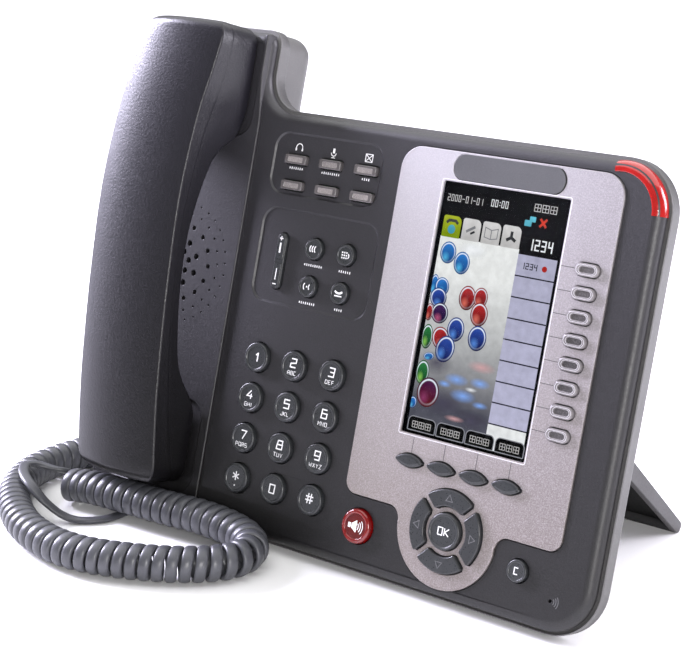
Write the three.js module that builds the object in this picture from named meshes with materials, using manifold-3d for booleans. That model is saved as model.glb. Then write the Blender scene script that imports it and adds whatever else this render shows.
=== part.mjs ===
// Desk IP phone: a tilted body with a colour display, 42 keys, a cradled handset and a curly cord.
// Millimetres, +Z up, -Y towards the user. The origin is at the middle of the footprint, on the desk.
import * as THREE from 'three';
import { mergeVertices } from 'three/addons/utils/BufferGeometryUtils.js';
import Module from 'manifold-3d';

const wasm = await Module();
wasm.setup();

// ---- driving dimensions -------------------------------------------------------------------
// Body parts are drawn in face coordinates: x to the right, y up the face and z out of it,
// with zero at the middle of the display on the front cover's flat face.
const TILT = 16;                                   // degrees that the face leans back
const FACE_ORIGIN = [60, -23, 106.2];              // the display's middle above the desk
const BODY = { left: -186, right: 66, top: 66.5, bottom: -107, cornerRadius: 20, leftRadius: 14 };
const HORN = { right: -122, top: 98, rightRadius: 7, leftRadius: 8, filletRadius: 14, back: -29 };
const WALL = 2.2;
const GAP = 0.3;
const COVER = { inset: 1.6, parting: -4.2, bevelSize: 4.2, bevelDepth: 3.6 };
const RIM_BACK = -11;
const HUMP = { inset: 10, back: -26, bevel: 3 };

const DISPLAY = { width: 55.5, height: 96.3 };
const LCD = { width: 60, height: 100, front: -1.6, back: -4.6 };
const BEZEL = {
  left: -48.6, right: 49, top: 59.6, bottom: -76.5, topRadius: 9, bottomRadius: 5, back: -0.9, front: 0.5,
};
const LOBE = { x: 0.2, y: -80.5, radius: 22, fillet: 5 };
const BADGE = { y: 54, width: 49, height: 10 };
const LENS = { inner: 13, outer: 18.6, start: 2, end: 102, front: 0.3, back: -4 };

const CRADLE = { left: -183.5, right: -122, top: 95.5, bottom: -104.5, rise: 1.5 };
const EAR_WELL = { left: -178, right: -126.5, bottom: 53, top: 100, floor: -0.6 };
const MOUTH_WELL = { left: -178, right: -126.5, bottom: -97.5, top: -58, floor: -0.1 };
const HOOK = { x: -155, y: 84, width: 12, height: 5, foot: -5.5 };
const CORD_NOTCH = { x: -155, width: 9, top: -93 };

const HANDSET = { middle: -152, halfWidth: 22, flare: 0.8, top: 97, bottom: -93.5, crown: 4, wall: 1.9 };
const STAND = {
  right: 37.5, left: -157.5, hingeY: -33, hingeZ: -31.5, angle: 64, length: 96.77, depth: 8, sheet: 2.4,
  footRadius: 3, sideWall: 3, barrelRadius: 3.6, pinRadius: 2.4, pinHoleRadius: 2.8,
};
const FOOT_PAD = { x: [-120, 20], front: -48, back: -42.2, height: 2.2 };
const HINGE_LUGS = [STAND.left - 4.5, STAND.right + 4.5];
const JACK = { y: -80, z: -18.5, halfWidth: 4.1, halfHeight: 3.4, depth: 12, wall: 2.6 };
const PLUG = { clearance: 0.3, stickOut: 7, endGap: 0.5 };
const HANDSET_SOCKET = { halfWidth: 4.2, depth: 12, back: 3, front: 9.8 };

const KEY_FLANGE = { front: -2.6, back: -3.4, lip: 1.1 };
const BEZEL_FLANGE = { front: -1.3, back: -2.1, lip: 0.6 };
const ROCKER_FLANGE = { front: -3.6, back: -4.4, lip: 0.8 };
const PAD = { columns: [-102.65, -83.28, -63.91], top: -34.04, pitch: 16.62, radius: 6, front: 2 };
const LINE_KEYS = { x: 39.8, top: 24.44, pitch: 8.556, width: 9.3, height: 5.2, front: 1.9, count: 8 };
const SOFT_KEYS = { left: -20.88, pitch: 14.57, y: -58.24, width: 12.3, height: 5, front: 2.2, count: 4 };
const NAV = { x: 0.5, y: -80.4, outer: 15.8, inner: 9.4, slot: 2.4, okRadius: 7, front: 2.1, okFront: 2.6 };
const MENU_KEYS = { left: -100.44, pitchX: 17.66, top: 47.1, pitchY: 10.44, width: 11, height: 3.8, front: 1.2 };
const CALL_KEYS = { left: -83.55, pitchX: 16.01, top: 13.19, pitchY: 15.13, radius: 4.25, front: 1.3 };
const VOLUME = { x: -100.3, y: 5.85, width: 4.7, length: 22.7, front: 1.2 };
const SPEAKER_KEY = { x: -39.6, y: -88.3, radius: 6.75, front: 2.4 };
const CLEAR_KEY = { x: 33.4, y: -86.7, radius: 4.2, front: 1.6 };
const MICROPHONE_HOLE = { x: 48.4, y: -93.8, radius: 0.7 };
const MENU_PANEL = { left: -112, right: -58.5, bottom: 33.4, top: 57, radius: 6, depth: 0.5 };
const CALL_PANEL = { left: -112, right: -54.5, bottom: -10.5, top: 26.5, radius: 6, depth: 0.5 };

const COIL_DIAMETER = 14.5;
const LEAD_DIAMETER = 2.6;

// The curly stretch's middle line on the desk, from behind the body's left end round to the front.
const COIL_ROUTE = [
  [-143, -12, 7.4], [-147, -24, 7.4], [-149.8, -36, 7.4], [-151, -48, 7.4], [-149.8, -61, 7.4],
  [-143, -75.5, 7.4], [-128.5, -91, 7.4], [-109, -103.5, 7.4], [-89, -110, 7.4], [-71, -110.6, 7.4],
  [-55, -106.4, 7.4], [-40, -99.6, 7.4], [-27.5, -91.4, 7.4], [-19, -82, 7.4], [-16.4, -73, 7.5],
  [-19.4, -65, 7.8], [-27.6, -59.8, 8.5], [-39, -58.4, 9.6], [-52, -58.8, 10.2], [-66, -60.4, 10.3],
  [-80, -61.6, 10.3], [-95, -62.6, 10.3], [-109, -62.8, 9.8], [-119.5, -63.2, 8.6], [-130.4, -65.2, 7.5],
];
// The straight lead from the curly stretch over it, along the desk and up to the handset.
const HANDSET_LEAD_ROUTE = [
  [-131.5, -65.6, 12.4], [-135.2, -66.8, 14.6], [-138.2, -70, 16.4], [-138.6, -74.8, 17.2], [-135, -79.6, 17],
  [-129.6, -83.4, 16.2], [-123.6, -85.8, 14.8], [-118.2, -86.2, 11.4], [-113.8, -84.4, 7.2], [-109.8, -81.8, 3.6],
  [-105.4, -79, 1.7], [-100.6, -75.4, 1.35], [-96.8, -70.6, 1.35], [-95.2, -65, 1.35], [-95, -60, 1.35],
  [-95, -55.3, 1.4], [-95, -51.5, 2.7], [-95, -49.23, 6], [-95, -49.18, 8.5], [-95, -50.4, 10.7],
  [-95, -52.1, 11.7], [-95, -53.8, 13], [-95, -55, 15.2], [-95, -54.95, 17.7],
];
// The straight lead from the base's socket down to the desk and round into the curly stretch.
const BASE_LEAD_ROUTE = [
  [-123.5, -27.3, 24.2], [-128.6, -26.6, 23.2], [-132, -22.5, 20], [-133, -15.5, 15], [-132, -8, 9.6],
  [-130.6, -0.5, 4.8], [-129.6, 6.5, 2], [-131.4, 13, 1.35], [-137, 16.4, 1.35], [-142.6, 13, 1.35],
  [-144.6, 6, 1.35], [-143.8, -3, 1.6], [-143, -11.5, 2.4],
];

// ---- materials ------------------------------------------------------------------------------
function finish(color, roughness, metalness = 0, extra = {}) {
  return new THREE.MeshStandardMaterial({ color, roughness, metalness, ...extra });
}
const charcoal = finish(0x3c3c40, 0.55);
const charcoalBack = finish(0x46464b, 0.6);
const keyBlack = finish(0x2b2d30, 0.35);
const silver = finish(0xb9b6b8, 0.4, 0.6);
const badgeGrey = finish(0x4a4a4e, 0.5);
const clearGlass = finish(0xd8e0e8, 0.05, 0, { transparent: true, opacity: 0.25 });
const screen = finish(0x101418, 0.3);
const redLens = finish(0xd0201c, 0.2);
const redKey = finish(0x8c1010, 0.25);
const clearKey = finish(0xc8c8cc, 0.2);
const greyKey = finish(0x6c6a6c, 0.3);
const boardGreen = finish(0x1f5a34, 0.6);
const coneBlack = finish(0x18181a, 0.7);
const cordGrey = finish(0x4a4c54, 0.45);
const plugClear = finish(0xc0c4c8, 0.2);

// ---- solids: a THREE geometry goes in, is cut and joined, and comes back out -------------------
function toSolid(geometry) {
  const bare = geometry.clone();
  bare.deleteAttribute('normal');
  bare.deleteAttribute('uv');
  const merged = mergeVertices(bare, 1e-4);
  const triangles = [];
  for (let i = 0; i < merged.index.count; i += 3) {
    const [a, b, c] = merged.index.array.slice(i, i + 3);
    if (a !== b && b !== c && c !== a) triangles.push(a, b, c);
  }
  return new wasm.Manifold(new wasm.Mesh({
    numProp: 3,
    vertProperties: new Float32Array(merged.attributes.position.array),
    triVerts: new Uint32Array(triangles),
  }));
}

function toGeometry(solid) {
  const mesh = solid.getMesh();
  const geometry = new THREE.BufferGeometry();
  geometry.setAttribute('position', new THREE.BufferAttribute(mesh.vertProperties, 3));
  geometry.setIndex(new THREE.BufferAttribute(mesh.triVerts, 1));
  geometry.computeVertexNormals();
  return geometry;
}

function union(...solids) {
  return solids.reduce((whole, solid) => whole.add(solid));
}

function cut(solid, ...tools) {
  return tools.reduce((left, tool) => left.subtract(tool), solid);
}

function box(x0, x1, y0, y1, z0, z1) {
  const geometry = new THREE.BoxGeometry(x1 - x0, y1 - y0, z1 - z0);
  geometry.translate((x0 + x1) / 2, (y0 + y1) / 2, (z0 + z1) / 2);
  return toSolid(geometry);
}

// An outline as a plain polygon, without the doubled points where its curves meet.
function polygon(shape, curveSegments) {
  const points = shape.getPoints(curveSegments);
  const distinct = points.filter((point, i) => point.distanceTo(points.at(i - 1)) > 1e-3);
  return new THREE.Shape(distinct);
}

// A flat outline carried along z from back to front.
function prism(shape, back, front, curveSegments = 5) {
  const outline = polygon(shape, curveSegments);
  const geometry = new THREE.ExtrudeGeometry(outline, { depth: front - back, bevelEnabled: false });
  geometry.translate(0, 0, back);
  return toSolid(geometry);
}

// The same with its front edge rounded inwards by size over depth.
function softPrism(shape, back, front, size, depth = size, steps = 2, curveSegments = 5) {
  const geometry = new THREE.ExtrudeGeometry(polygon(shape, curveSegments), {
    depth: front - back, bevelEnabled: true, bevelSize: size, bevelOffset: -size,
    bevelThickness: depth, bevelSegments: steps,
  });
  geometry.translate(0, 0, back - depth);
  const low = back - 2 * depth - 1;
  return cut(toSolid(geometry), box(-400, 400, -400, 400, low, back));
}

// A disc about (x, y) from back to front.
function disc(x, y, radius, back, front, sides = 16) {
  const shape = new THREE.Shape().absarc(x, y, radius, 0, 2 * Math.PI, false);
  return prism(shape, back, front, sides);
}

// ---- outlines ---------------------------------------------------------------------------------
// A polygon of [x, y, radius] corners, anticlockwise, with each corner rounded by an arc.
function rounded(corners) {
  const shape = new THREE.Shape();
  const count = corners.length;
  corners.forEach(([x, y, radius], i) => {
    const corner = new THREE.Vector2(x, y);
    const back = new THREE.Vector2(...corners[(i + count - 1) % count].slice(0, 2)).sub(corner).normalize();
    const ahead = new THREE.Vector2(...corners[(i + 1) % count].slice(0, 2)).sub(corner).normalize();
    const half = Math.acos(back.dot(ahead)) / 2;
    const centre = back.clone().add(ahead).normalize().multiplyScalar(radius / Math.sin(half)).add(corner);
    const start = back.clone().multiplyScalar(radius / Math.tan(half)).add(corner).sub(centre);
    const end = ahead.clone().multiplyScalar(radius / Math.tan(half)).add(corner).sub(centre);
    const clockwise = back.cross(ahead) > 0;
    shape.absarc(centre.x, centre.y, radius, start.angle(), end.angle(), clockwise);
  });
  shape.closePath();
  return shape;
}

function roundedBox({ left, right, bottom, top }, radius, grow = 0) {
  return rounded([
    [right + grow, bottom - grow, radius + grow], [right + grow, top + grow, radius + grow],
    [left - grow, top + grow, radius + grow], [left - grow, bottom - grow, radius + grow],
  ]);
}

function around(x, y, width, height) {
  return { left: x - width / 2, right: x + width / 2, bottom: y - height / 2, top: y + height / 2 };
}

// A slot's outline with half-round ends, along x or y whichever is longer.
function stadium(x, y, width, height, grow = 0) {
  const radius = Math.min(width, height) / 2 + grow;
  const reachX = Math.max(width - height, 0) / 2;
  const reachY = Math.max(height - width, 0) / 2;
  const start = reachX > 0 ? -Math.PI / 2 : 0;
  const shape = new THREE.Shape();
  shape.absarc(x + reachX, y + reachY, radius, start, start + Math.PI, false);
  shape.absarc(x - reachX, y - reachY, radius, start + Math.PI, start + 2 * Math.PI, false);
  shape.closePath();
  return shape;
}

function oval(x, y, width, height, grow = 0) {
  return new THREE.Shape().absellipse(x, y, width / 2 + grow, height / 2 + grow, 0, 2 * Math.PI, false);
}

function round(x, y, radius, grow = 0) {
  return new THREE.Shape().absarc(x, y, radius + grow, 0, 2 * Math.PI, false);
}

function bodyOutline(inset) {
  const left = BODY.left + inset;
  const right = BODY.right - inset;
  const bottom = BODY.bottom + inset;
  return rounded([
    [right, bottom, BODY.cornerRadius - inset],
    [right, BODY.top - inset, BODY.cornerRadius - inset],
    [HORN.right - inset, BODY.top - inset, HORN.filletRadius + inset],
    [HORN.right - inset, HORN.top - inset, Math.max(HORN.rightRadius - inset, 0.6)],
    [left, HORN.top - inset, Math.max(HORN.leftRadius - inset, 0.6)],
    [left, bottom, Math.max(BODY.leftRadius - inset, 1)],
  ]);
}

// The bezel: a rounded rectangle whose foot swells into a round lobe about the navigation keys.
function bezelOutline(inset) {
  const shape = new THREE.Shape();
  const lowRadius = BEZEL.bottomRadius - inset;
  const highRadius = BEZEL.topRadius - inset;
  const right = BEZEL.right - inset;
  const left = BEZEL.left + inset;
  const top = BEZEL.top - inset;
  const bottom = BEZEL.bottom + inset;
  const filletY = BEZEL.bottom - LOBE.fillet;
  const reach = Math.sqrt((LOBE.radius + LOBE.fillet) ** 2 - (filletY - LOBE.y) ** 2);
  const lean = Math.atan2(LOBE.y - filletY, reach);
  shape.absarc(right - lowRadius, bottom + lowRadius, lowRadius, -Math.PI / 2, 0, false);
  shape.absarc(right - highRadius, top - highRadius, highRadius, 0, Math.PI / 2, false);
  shape.absarc(left + highRadius, top - highRadius, highRadius, Math.PI / 2, Math.PI, false);
  shape.absarc(left + lowRadius, bottom + lowRadius, lowRadius, Math.PI, 1.5 * Math.PI, false);
  shape.absarc(LOBE.x - reach, filletY, LOBE.fillet + inset, Math.PI / 2, lean, true);
  shape.absarc(LOBE.x, LOBE.y, LOBE.radius - inset, Math.PI + lean, 2 * Math.PI - lean, false);
  shape.absarc(LOBE.x + reach, filletY, LOBE.fillet + inset, Math.PI - lean, Math.PI / 2, true);
  shape.closePath();
  return shape;
}

// A quarter of the navigation ring, centred on the given angle, with straight slots at its ends.
function quadrant(angle, grow = 0) {
  const outer = NAV.outer + grow;
  const inner = NAV.inner - grow;
  const half = NAV.slot / 2 - grow;
  const wideOuter = Math.PI / 4 - Math.asin(half / outer);
  const wideInner = Math.PI / 4 - Math.asin(half / inner);
  const shape = new THREE.Shape();
  shape.absarc(NAV.x, NAV.y, outer, angle - wideOuter, angle + wideOuter, false);
  shape.absarc(NAV.x, NAV.y, inner, angle + wideInner, angle - wideInner, true);
  shape.closePath();
  return shape;
}

function lensOutline(grow) {
  const x = BODY.right - BODY.cornerRadius;
  const y = BODY.top - BODY.cornerRadius;
  const spread = grow / LENS.inner;
  const start = THREE.MathUtils.degToRad(LENS.start) - spread;
  const end = THREE.MathUtils.degToRad(LENS.end) + spread;
  const shape = new THREE.Shape();
  shape.absarc(x, y, LENS.outer + grow * 6, start, end, false);
  shape.absarc(x, y, LENS.inner - grow, end, start, true);
  shape.closePath();
  return shape;
}

// ---- keys ---------------------------------------------------------------------------------------
// Each key lists the outline of its cap for a given growth, how far it stands out and its material.
const keys = [];
const quarterTurn = Math.PI / 2;

function addKey(name, outline, front, material, inBezel, segments, flange) {
  const behind = flange ?? (inBezel ? BEZEL_FLANGE : KEY_FLANGE);
  keys.push({ name, outline, front, material, inBezel, segments, flange: behind });
}

['1', '2', '3', '4', '5', '6', '7', '8', '9', 'star', '0', 'hash'].forEach((label, i) => {
  const x = PAD.columns[i % 3];
  const y = PAD.top - PAD.pitch * Math.floor(i / 3);
  addKey(`key_${label}`, (grow) => round(x, y, PAD.radius, grow), PAD.front, keyBlack, false, 6);
});
for (let i = 0; i < LINE_KEYS.count; i += 1) {
  const y = LINE_KEYS.top - LINE_KEYS.pitch * i;
  const outline = (grow) => stadium(LINE_KEYS.x, y, LINE_KEYS.width, LINE_KEYS.height, grow);
  addKey(`line_key_${i + 1}`, outline, LINE_KEYS.front, clearKey, true, 2);
}
for (let i = 0; i < SOFT_KEYS.count; i += 1) {
  const x = SOFT_KEYS.left + SOFT_KEYS.pitch * i;
  const outline = (grow) => oval(x, SOFT_KEYS.y, SOFT_KEYS.width, SOFT_KEYS.height, grow);
  addKey(`soft_key_${i + 1}`, outline, SOFT_KEYS.front, keyBlack, true, 5);
}
['right', 'up', 'left', 'down'].forEach((label, i) => {
  addKey(`nav_key_${label}`, (grow) => quadrant(i * quarterTurn, grow), NAV.front, keyBlack, true, 3);
});
addKey('ok_key', (grow) => round(NAV.x, NAV.y, NAV.okRadius, grow), NAV.okFront, keyBlack, true, 6);
for (let i = 0; i < 6; i += 1) {
  const x = MENU_KEYS.left + MENU_KEYS.pitchX * (i % 3);
  const y = MENU_KEYS.top - MENU_KEYS.pitchY * Math.floor(i / 3);
  const outline = (grow) => roundedBox(around(x, y, MENU_KEYS.width, MENU_KEYS.height), 1, grow);
  addKey(`menu_key_${i + 1}`, outline, MENU_KEYS.front, greyKey, false, 1);
}
['conference_key', 'redial_key', 'transfer_key', 'hold_key'].forEach((name, i) => {
  const x = CALL_KEYS.left + CALL_KEYS.pitchX * (i % 2);
  const y = CALL_KEYS.top - CALL_KEYS.pitchY * Math.floor(i / 2);
  addKey(name, (grow) => round(x, y, CALL_KEYS.radius, grow), CALL_KEYS.front, keyBlack, false, 5);
});
const volumeOutline = (grow) => stadium(VOLUME.x, VOLUME.y, VOLUME.width, VOLUME.length, grow);
addKey('volume_rocker', volumeOutline, VOLUME.front, keyBlack, false, 3, ROCKER_FLANGE);
const speakerOutline = (grow) => round(SPEAKER_KEY.x, SPEAKER_KEY.y, SPEAKER_KEY.radius, grow);
addKey('speaker_key', speakerOutline, SPEAKER_KEY.front, redKey, false, 7);
const clearOutline = (grow) => round(CLEAR_KEY.x, CLEAR_KEY.y, CLEAR_KEY.radius, grow);
addKey('clear_key', clearOutline, CLEAR_KEY.front, keyBlack, false, 5);

// A cap with a soft front edge, on a thin flange that keeps it behind the cover.
function keySolid({ outline, front, flange, segments }) {
  const cap = softPrism(outline(0), flange.back, front, 0.6, 0.6, 1, segments);
  const lip = prism(outline(flange.lip), flange.back, flange.front, segments);
  return union(cap, lip);
}

// The holes that the keys of one plate pass through.
function keyHoles(inBezel, back, front) {
  return keys.filter((key) => key.inBezel === inBezel)
    .map((key) => prism(key.outline(GAP), back, front, key.segments));
}

// ---- body shells ----------------------------------------------------------------------------------
function frontCover() {
  const { inset, parting, bevelSize, bevelDepth } = COVER;
  const shell = softPrism(bodyOutline(inset), parting, 0, bevelSize, bevelDepth, 2, 3);
  const strip = softPrism(roundedBox(CRADLE, 8), -2, CRADLE.rise, 1, 1, 1, 2);
  const inside = prism(bodyOutline(inset + WALL + 0.4), parting - 1, -WALL, 2);
  return cut(
    union(shell, strip),
    inside,
    prism(bezelOutline(2), parting, 1, 3),
    prism(bezelOutline(-GAP), BEZEL.back - GAP, 1, 4),
    prism(roundedBox(MENU_PANEL, MENU_PANEL.radius), -MENU_PANEL.depth, 1, 2),
    prism(roundedBox(CALL_PANEL, CALL_PANEL.radius), -CALL_PANEL.depth, 1, 2),
    prism(roundedBox(EAR_WELL, 8), EAR_WELL.floor, 3, 2),
    prism(roundedBox(MOUTH_WELL, 8), MOUTH_WELL.floor, 3, 2),
    prism(hookOutline(GAP), parting, 3, 2),
    cordNotch(),
    prism(lensOutline(GAP), parting - 1, 1, 4),
    disc(MICROPHONE_HOLE.x, MICROPHONE_HOLE.y, MICROPHONE_HOLE.radius, parting, 1, 4),
    ...keyHoles(false, parting, 3),
  );
}

// The slot in the cradle's lower edge that lets the cord down to the desk.
function cordNotch() {
  const { x, width, top } = CORD_NOTCH;
  return box(x - width / 2, x + width / 2, BODY.bottom - 1, top, COVER.parting - 1, 3);
}

function hookOutline(grow) {
  return roundedBox(around(HOOK.x, HOOK.y, HOOK.width, HOOK.height), 1, grow);
}

function hookSwitch() {
  const tongue = prism(hookOutline(0), HOOK.foot, EAR_WELL.floor + 0.2, 2);
  const foot = prism(hookOutline(1.5), HOOK.foot - 1.1, HOOK.foot, 2);
  return union(tongue, foot);
}

const humpBox = {
  left: BODY.left + HUMP.inset, right: BODY.right - HUMP.inset,
  bottom: BODY.bottom + HUMP.inset, top: BODY.top - HUMP.inset,
};
const hornBox = { left: BODY.left + 2, right: HORN.right - 0.6, bottom: 30, top: HORN.top - 0.6 };

// Turned over, a prism rounded at its front is rounded at its back.
function backPrism(shape, back, front, size, steps, curveSegments) {
  return softPrism(shape, -front, -back, size, size, steps, curveSegments).mirror([0, 0, 1]);
}

function rearVolume() {
  const rim = backPrism(bodyOutline(0), RIM_BACK, COVER.parting - GAP, 1.2, 1, 3);
  const hump = backPrism(roundedBox(humpBox, 12), HUMP.back, RIM_BACK + 4, HUMP.bevel, 1, 2);
  const horn = backPrism(roundedBox(hornBox, 7), HORN.back, COVER.parting - GAP, 5, 2, 2);
  return union(rim, hump, horn);
}

function rearCavity() {
  const front = COVER.parting + 1;
  const rim = prism(bodyOutline(WALL), RIM_BACK + WALL, front, 2);
  const hump = prism(roundedBox(humpBox, 12, -WALL), HUMP.back + WALL, front, 2);
  const horn = prism(roundedBox(hornBox, 7, -WALL - 0.8), HORN.back + WALL, front, 2);
  return union(rim, hump, horn);
}

// Wedges under the lower rim that turn the leaning body's edge into flat feet on the desk.
function footPad(x) {
  return box(x - 14, x + 14, FOOT_PAD.front, FOOT_PAD.back, 0, FOOT_PAD.height)
    .translate([0, -FACE_ORIGIN[1], -FACE_ORIGIN[2]])
    .rotate([-(90 - TILT), 0, 0]);
}

function hingeLug(x) {
  const side = new THREE.Shape();
  side.moveTo(STAND.hingeY - 7, HUMP.back + 1);
  side.lineTo(STAND.hingeY - 4.5, STAND.hingeZ - 3);
  side.absarc(STAND.hingeY, STAND.hingeZ, 5, 1.2 * Math.PI, 1.8 * Math.PI, false);
  side.lineTo(STAND.hingeY + 7, HUMP.back + 1);
  side.closePath();
  return alongX(side, x - 3, x + 3, 3);
}

// An outline of (y, z) points carried along x.
function alongX(shape, x0, x1, curveSegments = 4) {
  const outline = polygon(shape, curveSegments);
  const geometry = new THREE.ExtrudeGeometry(outline, { depth: x1 - x0, bevelEnabled: false });
  geometry.applyMatrix4(new THREE.Matrix4().set(0, 0, 1, x0, 1, 0, 0, 0, 0, 1, 0, 0, 0, 0, 0, 1));
  return toSolid(geometry);
}

function rod(y, z, radius, x0, x1, sides = 10) {
  return alongX(new THREE.Shape().absarc(y, z, radius, 0, 2 * Math.PI, false), x0, x1, sides);
}

function rearCover() {
  const shell = cut(rearVolume(), rearCavity());
  const inside = humpBox.left + JACK.depth;
  const socketWall = jackBox(humpBox.left + 1, inside + 2, JACK.wall);
  const socket = jackBox(humpBox.left - 1, inside, 0);
  const body = union(shell, socketWall, ...HINGE_LUGS.map(hingeLug), ...FOOT_PAD.x.map(footPad));
  const pinHoles = rod(STAND.hingeY, STAND.hingeZ, STAND.pinHoleRadius, -200, 200);
  return cut(body, socket, pinHoles);
}

// A box along x about the rear socket's axis, grown all round.
function jackBox(x0, x1, grow) {
  const { y, z, halfWidth, halfHeight } = JACK;
  const wide = halfWidth + grow;
  const high = halfHeight + grow;
  return box(x0, x1, y - wide, y + wide, z - high, z + high);
}

// ---- handset: two shells lofted along y -------------------------------------------------------------
function curveOf(points) {
  return new THREE.SplineCurve(points.map(([y, z]) => new THREE.Vector2(y, z)));
}

// Height above the face of the crowned front, the shells' seam and the inner side, along the handset.
const frontLine = curveOf([
  [97, 22], [77, 26], [57, 30.3], [25, 33], [-11, 31.6], [-45, 28.5], [-66, 25.6], [-93.5, 20.5],
]);
const seamLine = curveOf([
  [97, 15.5], [76, 17.8], [47, 25], [18, 28.4], [-2, 27.9], [-29, 25], [-56, 19.4], [-75, 14.3], [-93.5, 8],
]);
const innerLine = curveOf([
  [97, 0], [66, 0], [58, 1.4], [52, 4.5], [47, 11], [41, 15.6], [28, 19.8], [10, 22.8],
  [-10, 22.2], [-29, 19.3], [-42, 16], [-50, 11.2], [-56, 5.8], [-62, 2], [-70, 1], [-93.5, 1],
]);

function heightAt(curve, y) {
  let low = 0;
  let high = 1;
  for (let i = 0; i < 24; i += 1) {
    const middle = (low + high) / 2;
    if (curve.getPoint(middle).x > y) low = middle;
    else high = middle;
  }
  return curve.getPoint(low).y;
}

// How far a rounded end has drawn in at a distance from it.
function endRound(distance, radius) {
  if (distance >= radius) return 0;
  return radius - Math.sqrt(radius ** 2 - (radius - distance) ** 2);
}

const endSteps = [0, 1, 3.5, 8];
const handsetStations = [
  ...endSteps.map((step) => HANDSET.top - step),
  76, 63, 57, 52, 47, 41, 31, 10, -12, -30, -42, -49, -54, -60, -70,
  ...[...endSteps].reverse().map((step) => HANDSET.bottom + step),
];

// Stacks one closed section for each station into a solid with flat ends.
function loft(sections) {
  const count = sections[0].length;
  const positions = sections.flat().flat();
  const index = [];
  for (let s = 0; s + 1 < sections.length; s += 1) {
    for (let i = 0; i < count; i += 1) {
      const a = s * count + i;
      const b = s * count + (i + 1) % count;
      index.push(a, b, a + count, b, b + count, a + count);
    }
  }
  const last = (sections.length - 1) * count;
  for (let i = 1; i + 1 < count; i += 1) {
    index.push(0, i + 1, i);
    index.push(last, last + i, last + i + 1);
  }
  const geometry = new THREE.BufferGeometry();
  geometry.setAttribute('position', new THREE.Float32BufferAttribute(positions, 3));
  geometry.setIndex(index);
  const solid = toSolid(geometry);
  return solid.volume() > 0 ? solid : toSolid(flip(geometry));
}

function flip(geometry) {
  const turned = geometry.clone();
  const index = turned.index.array;
  for (let i = 0; i < index.length; i += 3) [index[i], index[i + 1]] = [index[i + 1], index[i]];
  return turned;
}

function halfWidthAt(y, shrink) {
  const distance = Math.min(HANDSET.top - y, y - HANDSET.bottom);
  return HANDSET.halfWidth - endRound(Math.max(distance, 0), 8) - shrink;
}

// The crowned front shell's section, from the seam round the front and back to the seam.
function outerSection(y, shrink, seamShift) {
  const half = halfWidthAt(y, shrink);
  const distance = Math.min(HANDSET.top - y, y - HANDSET.bottom);
  const front = heightAt(frontLine, y) - endRound(Math.max(distance, 0), 4) - shrink;
  const seam = heightAt(seamLine, y) + seamShift;
  const section = [[half + HANDSET.flare, seam], [half + 0.2, front - 1.2]];
  for (let i = 0; i <= 4; i += 1) {
    const across = Math.cos(Math.PI * i / 4);
    section.push([(half - 0.8) * across, front + (HANDSET.crown - 1) * (1 - across ** 2)]);
  }
  section.push([-half - 0.2, front - 1.2], [-half - HANDSET.flare, seam]);
  return section.map(([x, z]) => [HANDSET.middle + x, y, z]);
}

function innerSection(y, shrink, seamShift) {
  const half = halfWidthAt(y, shrink);
  const inner = heightAt(innerLine, y) + shrink;
  const seam = heightAt(seamLine, y) + seamShift;
  return [
    [half + HANDSET.flare, seam], [-half - HANDSET.flare, seam],
    [-half, inner + 1.6], [-half + 1.8, inner], [half - 1.8, inner], [half, inner + 1.6],
  ].map(([x, z]) => [HANDSET.middle + x, y, z]);
}

function handsetShell(section, seamShift, cavityShift) {
  const outside = loft(handsetStations.map((y) => section(y, 0, seamShift)));
  const hollow = handsetStations.filter((y) => y < HANDSET.top - 2 && y > HANDSET.bottom + 2)
    .map((y) => section(y, HANDSET.wall, cavityShift));
  return cut(outside, loft(hollow), handsetSocket());
}

function handsetSocket() {
  const { halfWidth, depth, back, front } = HANDSET_SOCKET;
  const { x } = CORD_NOTCH;
  return box(x - halfWidth, x + halfWidth, HANDSET.bottom - 1, HANDSET.bottom + depth, back, front);
}

function handsetPlug() {
  const half = HANDSET_SOCKET.halfWidth - PLUG.clearance;
  const inside = HANDSET.bottom + HANDSET_SOCKET.depth - PLUG.endGap;
  const { back, front } = HANDSET_SOCKET;
  return box(
    CORD_NOTCH.x - half, CORD_NOTCH.x + half, HANDSET.bottom - 0.1, inside,
    back + PLUG.clearance, front - PLUG.clearance,
  );
}

function earHoles() {
  const holes = [disc(HANDSET.middle, 80, 1.1, -1, 5, 6)];
  for (let i = 0; i < 6; i += 1) {
    const angle = i * Math.PI / 3;
    holes.push(disc(HANDSET.middle + 6 * Math.cos(angle), 80 + 6 * Math.sin(angle), 1.1, -1, 5, 6));
  }
  return holes;
}

function mouthHoles() {
  return [-4, 0, 4].map((x) => disc(HANDSET.middle + x, -76, 0.9, -1, 5, 6));
}

// ---- stand -------------------------------------------------------------------------------------------
// Drawn lying along +z from its hinge with its underside towards +y, then swung out to its open angle.
function legSide() {
  const half = STAND.depth / 2;
  const shape = new THREE.Shape();
  shape.absarc(0, 0, half, Math.PI, 2 * Math.PI, false);
  shape.absarc(0, STAND.length - STAND.footRadius, STAND.footRadius, 0, Math.PI, false);
  shape.closePath();
  return shape;
}

// The panel runs along the upper side and closes on the barrel at the hinge.
function legPanel() {
  const back = -STAND.depth / 2;
  const foot = -STAND.footRadius;
  const shape = new THREE.Shape();
  shape.moveTo(back + 0.3, 0);
  shape.lineTo(back + STAND.sheet, 0);
  shape.lineTo(foot + STAND.sheet, STAND.length - 5);
  shape.lineTo(foot, STAND.length - 5);
  shape.lineTo(back, 4);
  shape.closePath();
  return shape;
}

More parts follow.
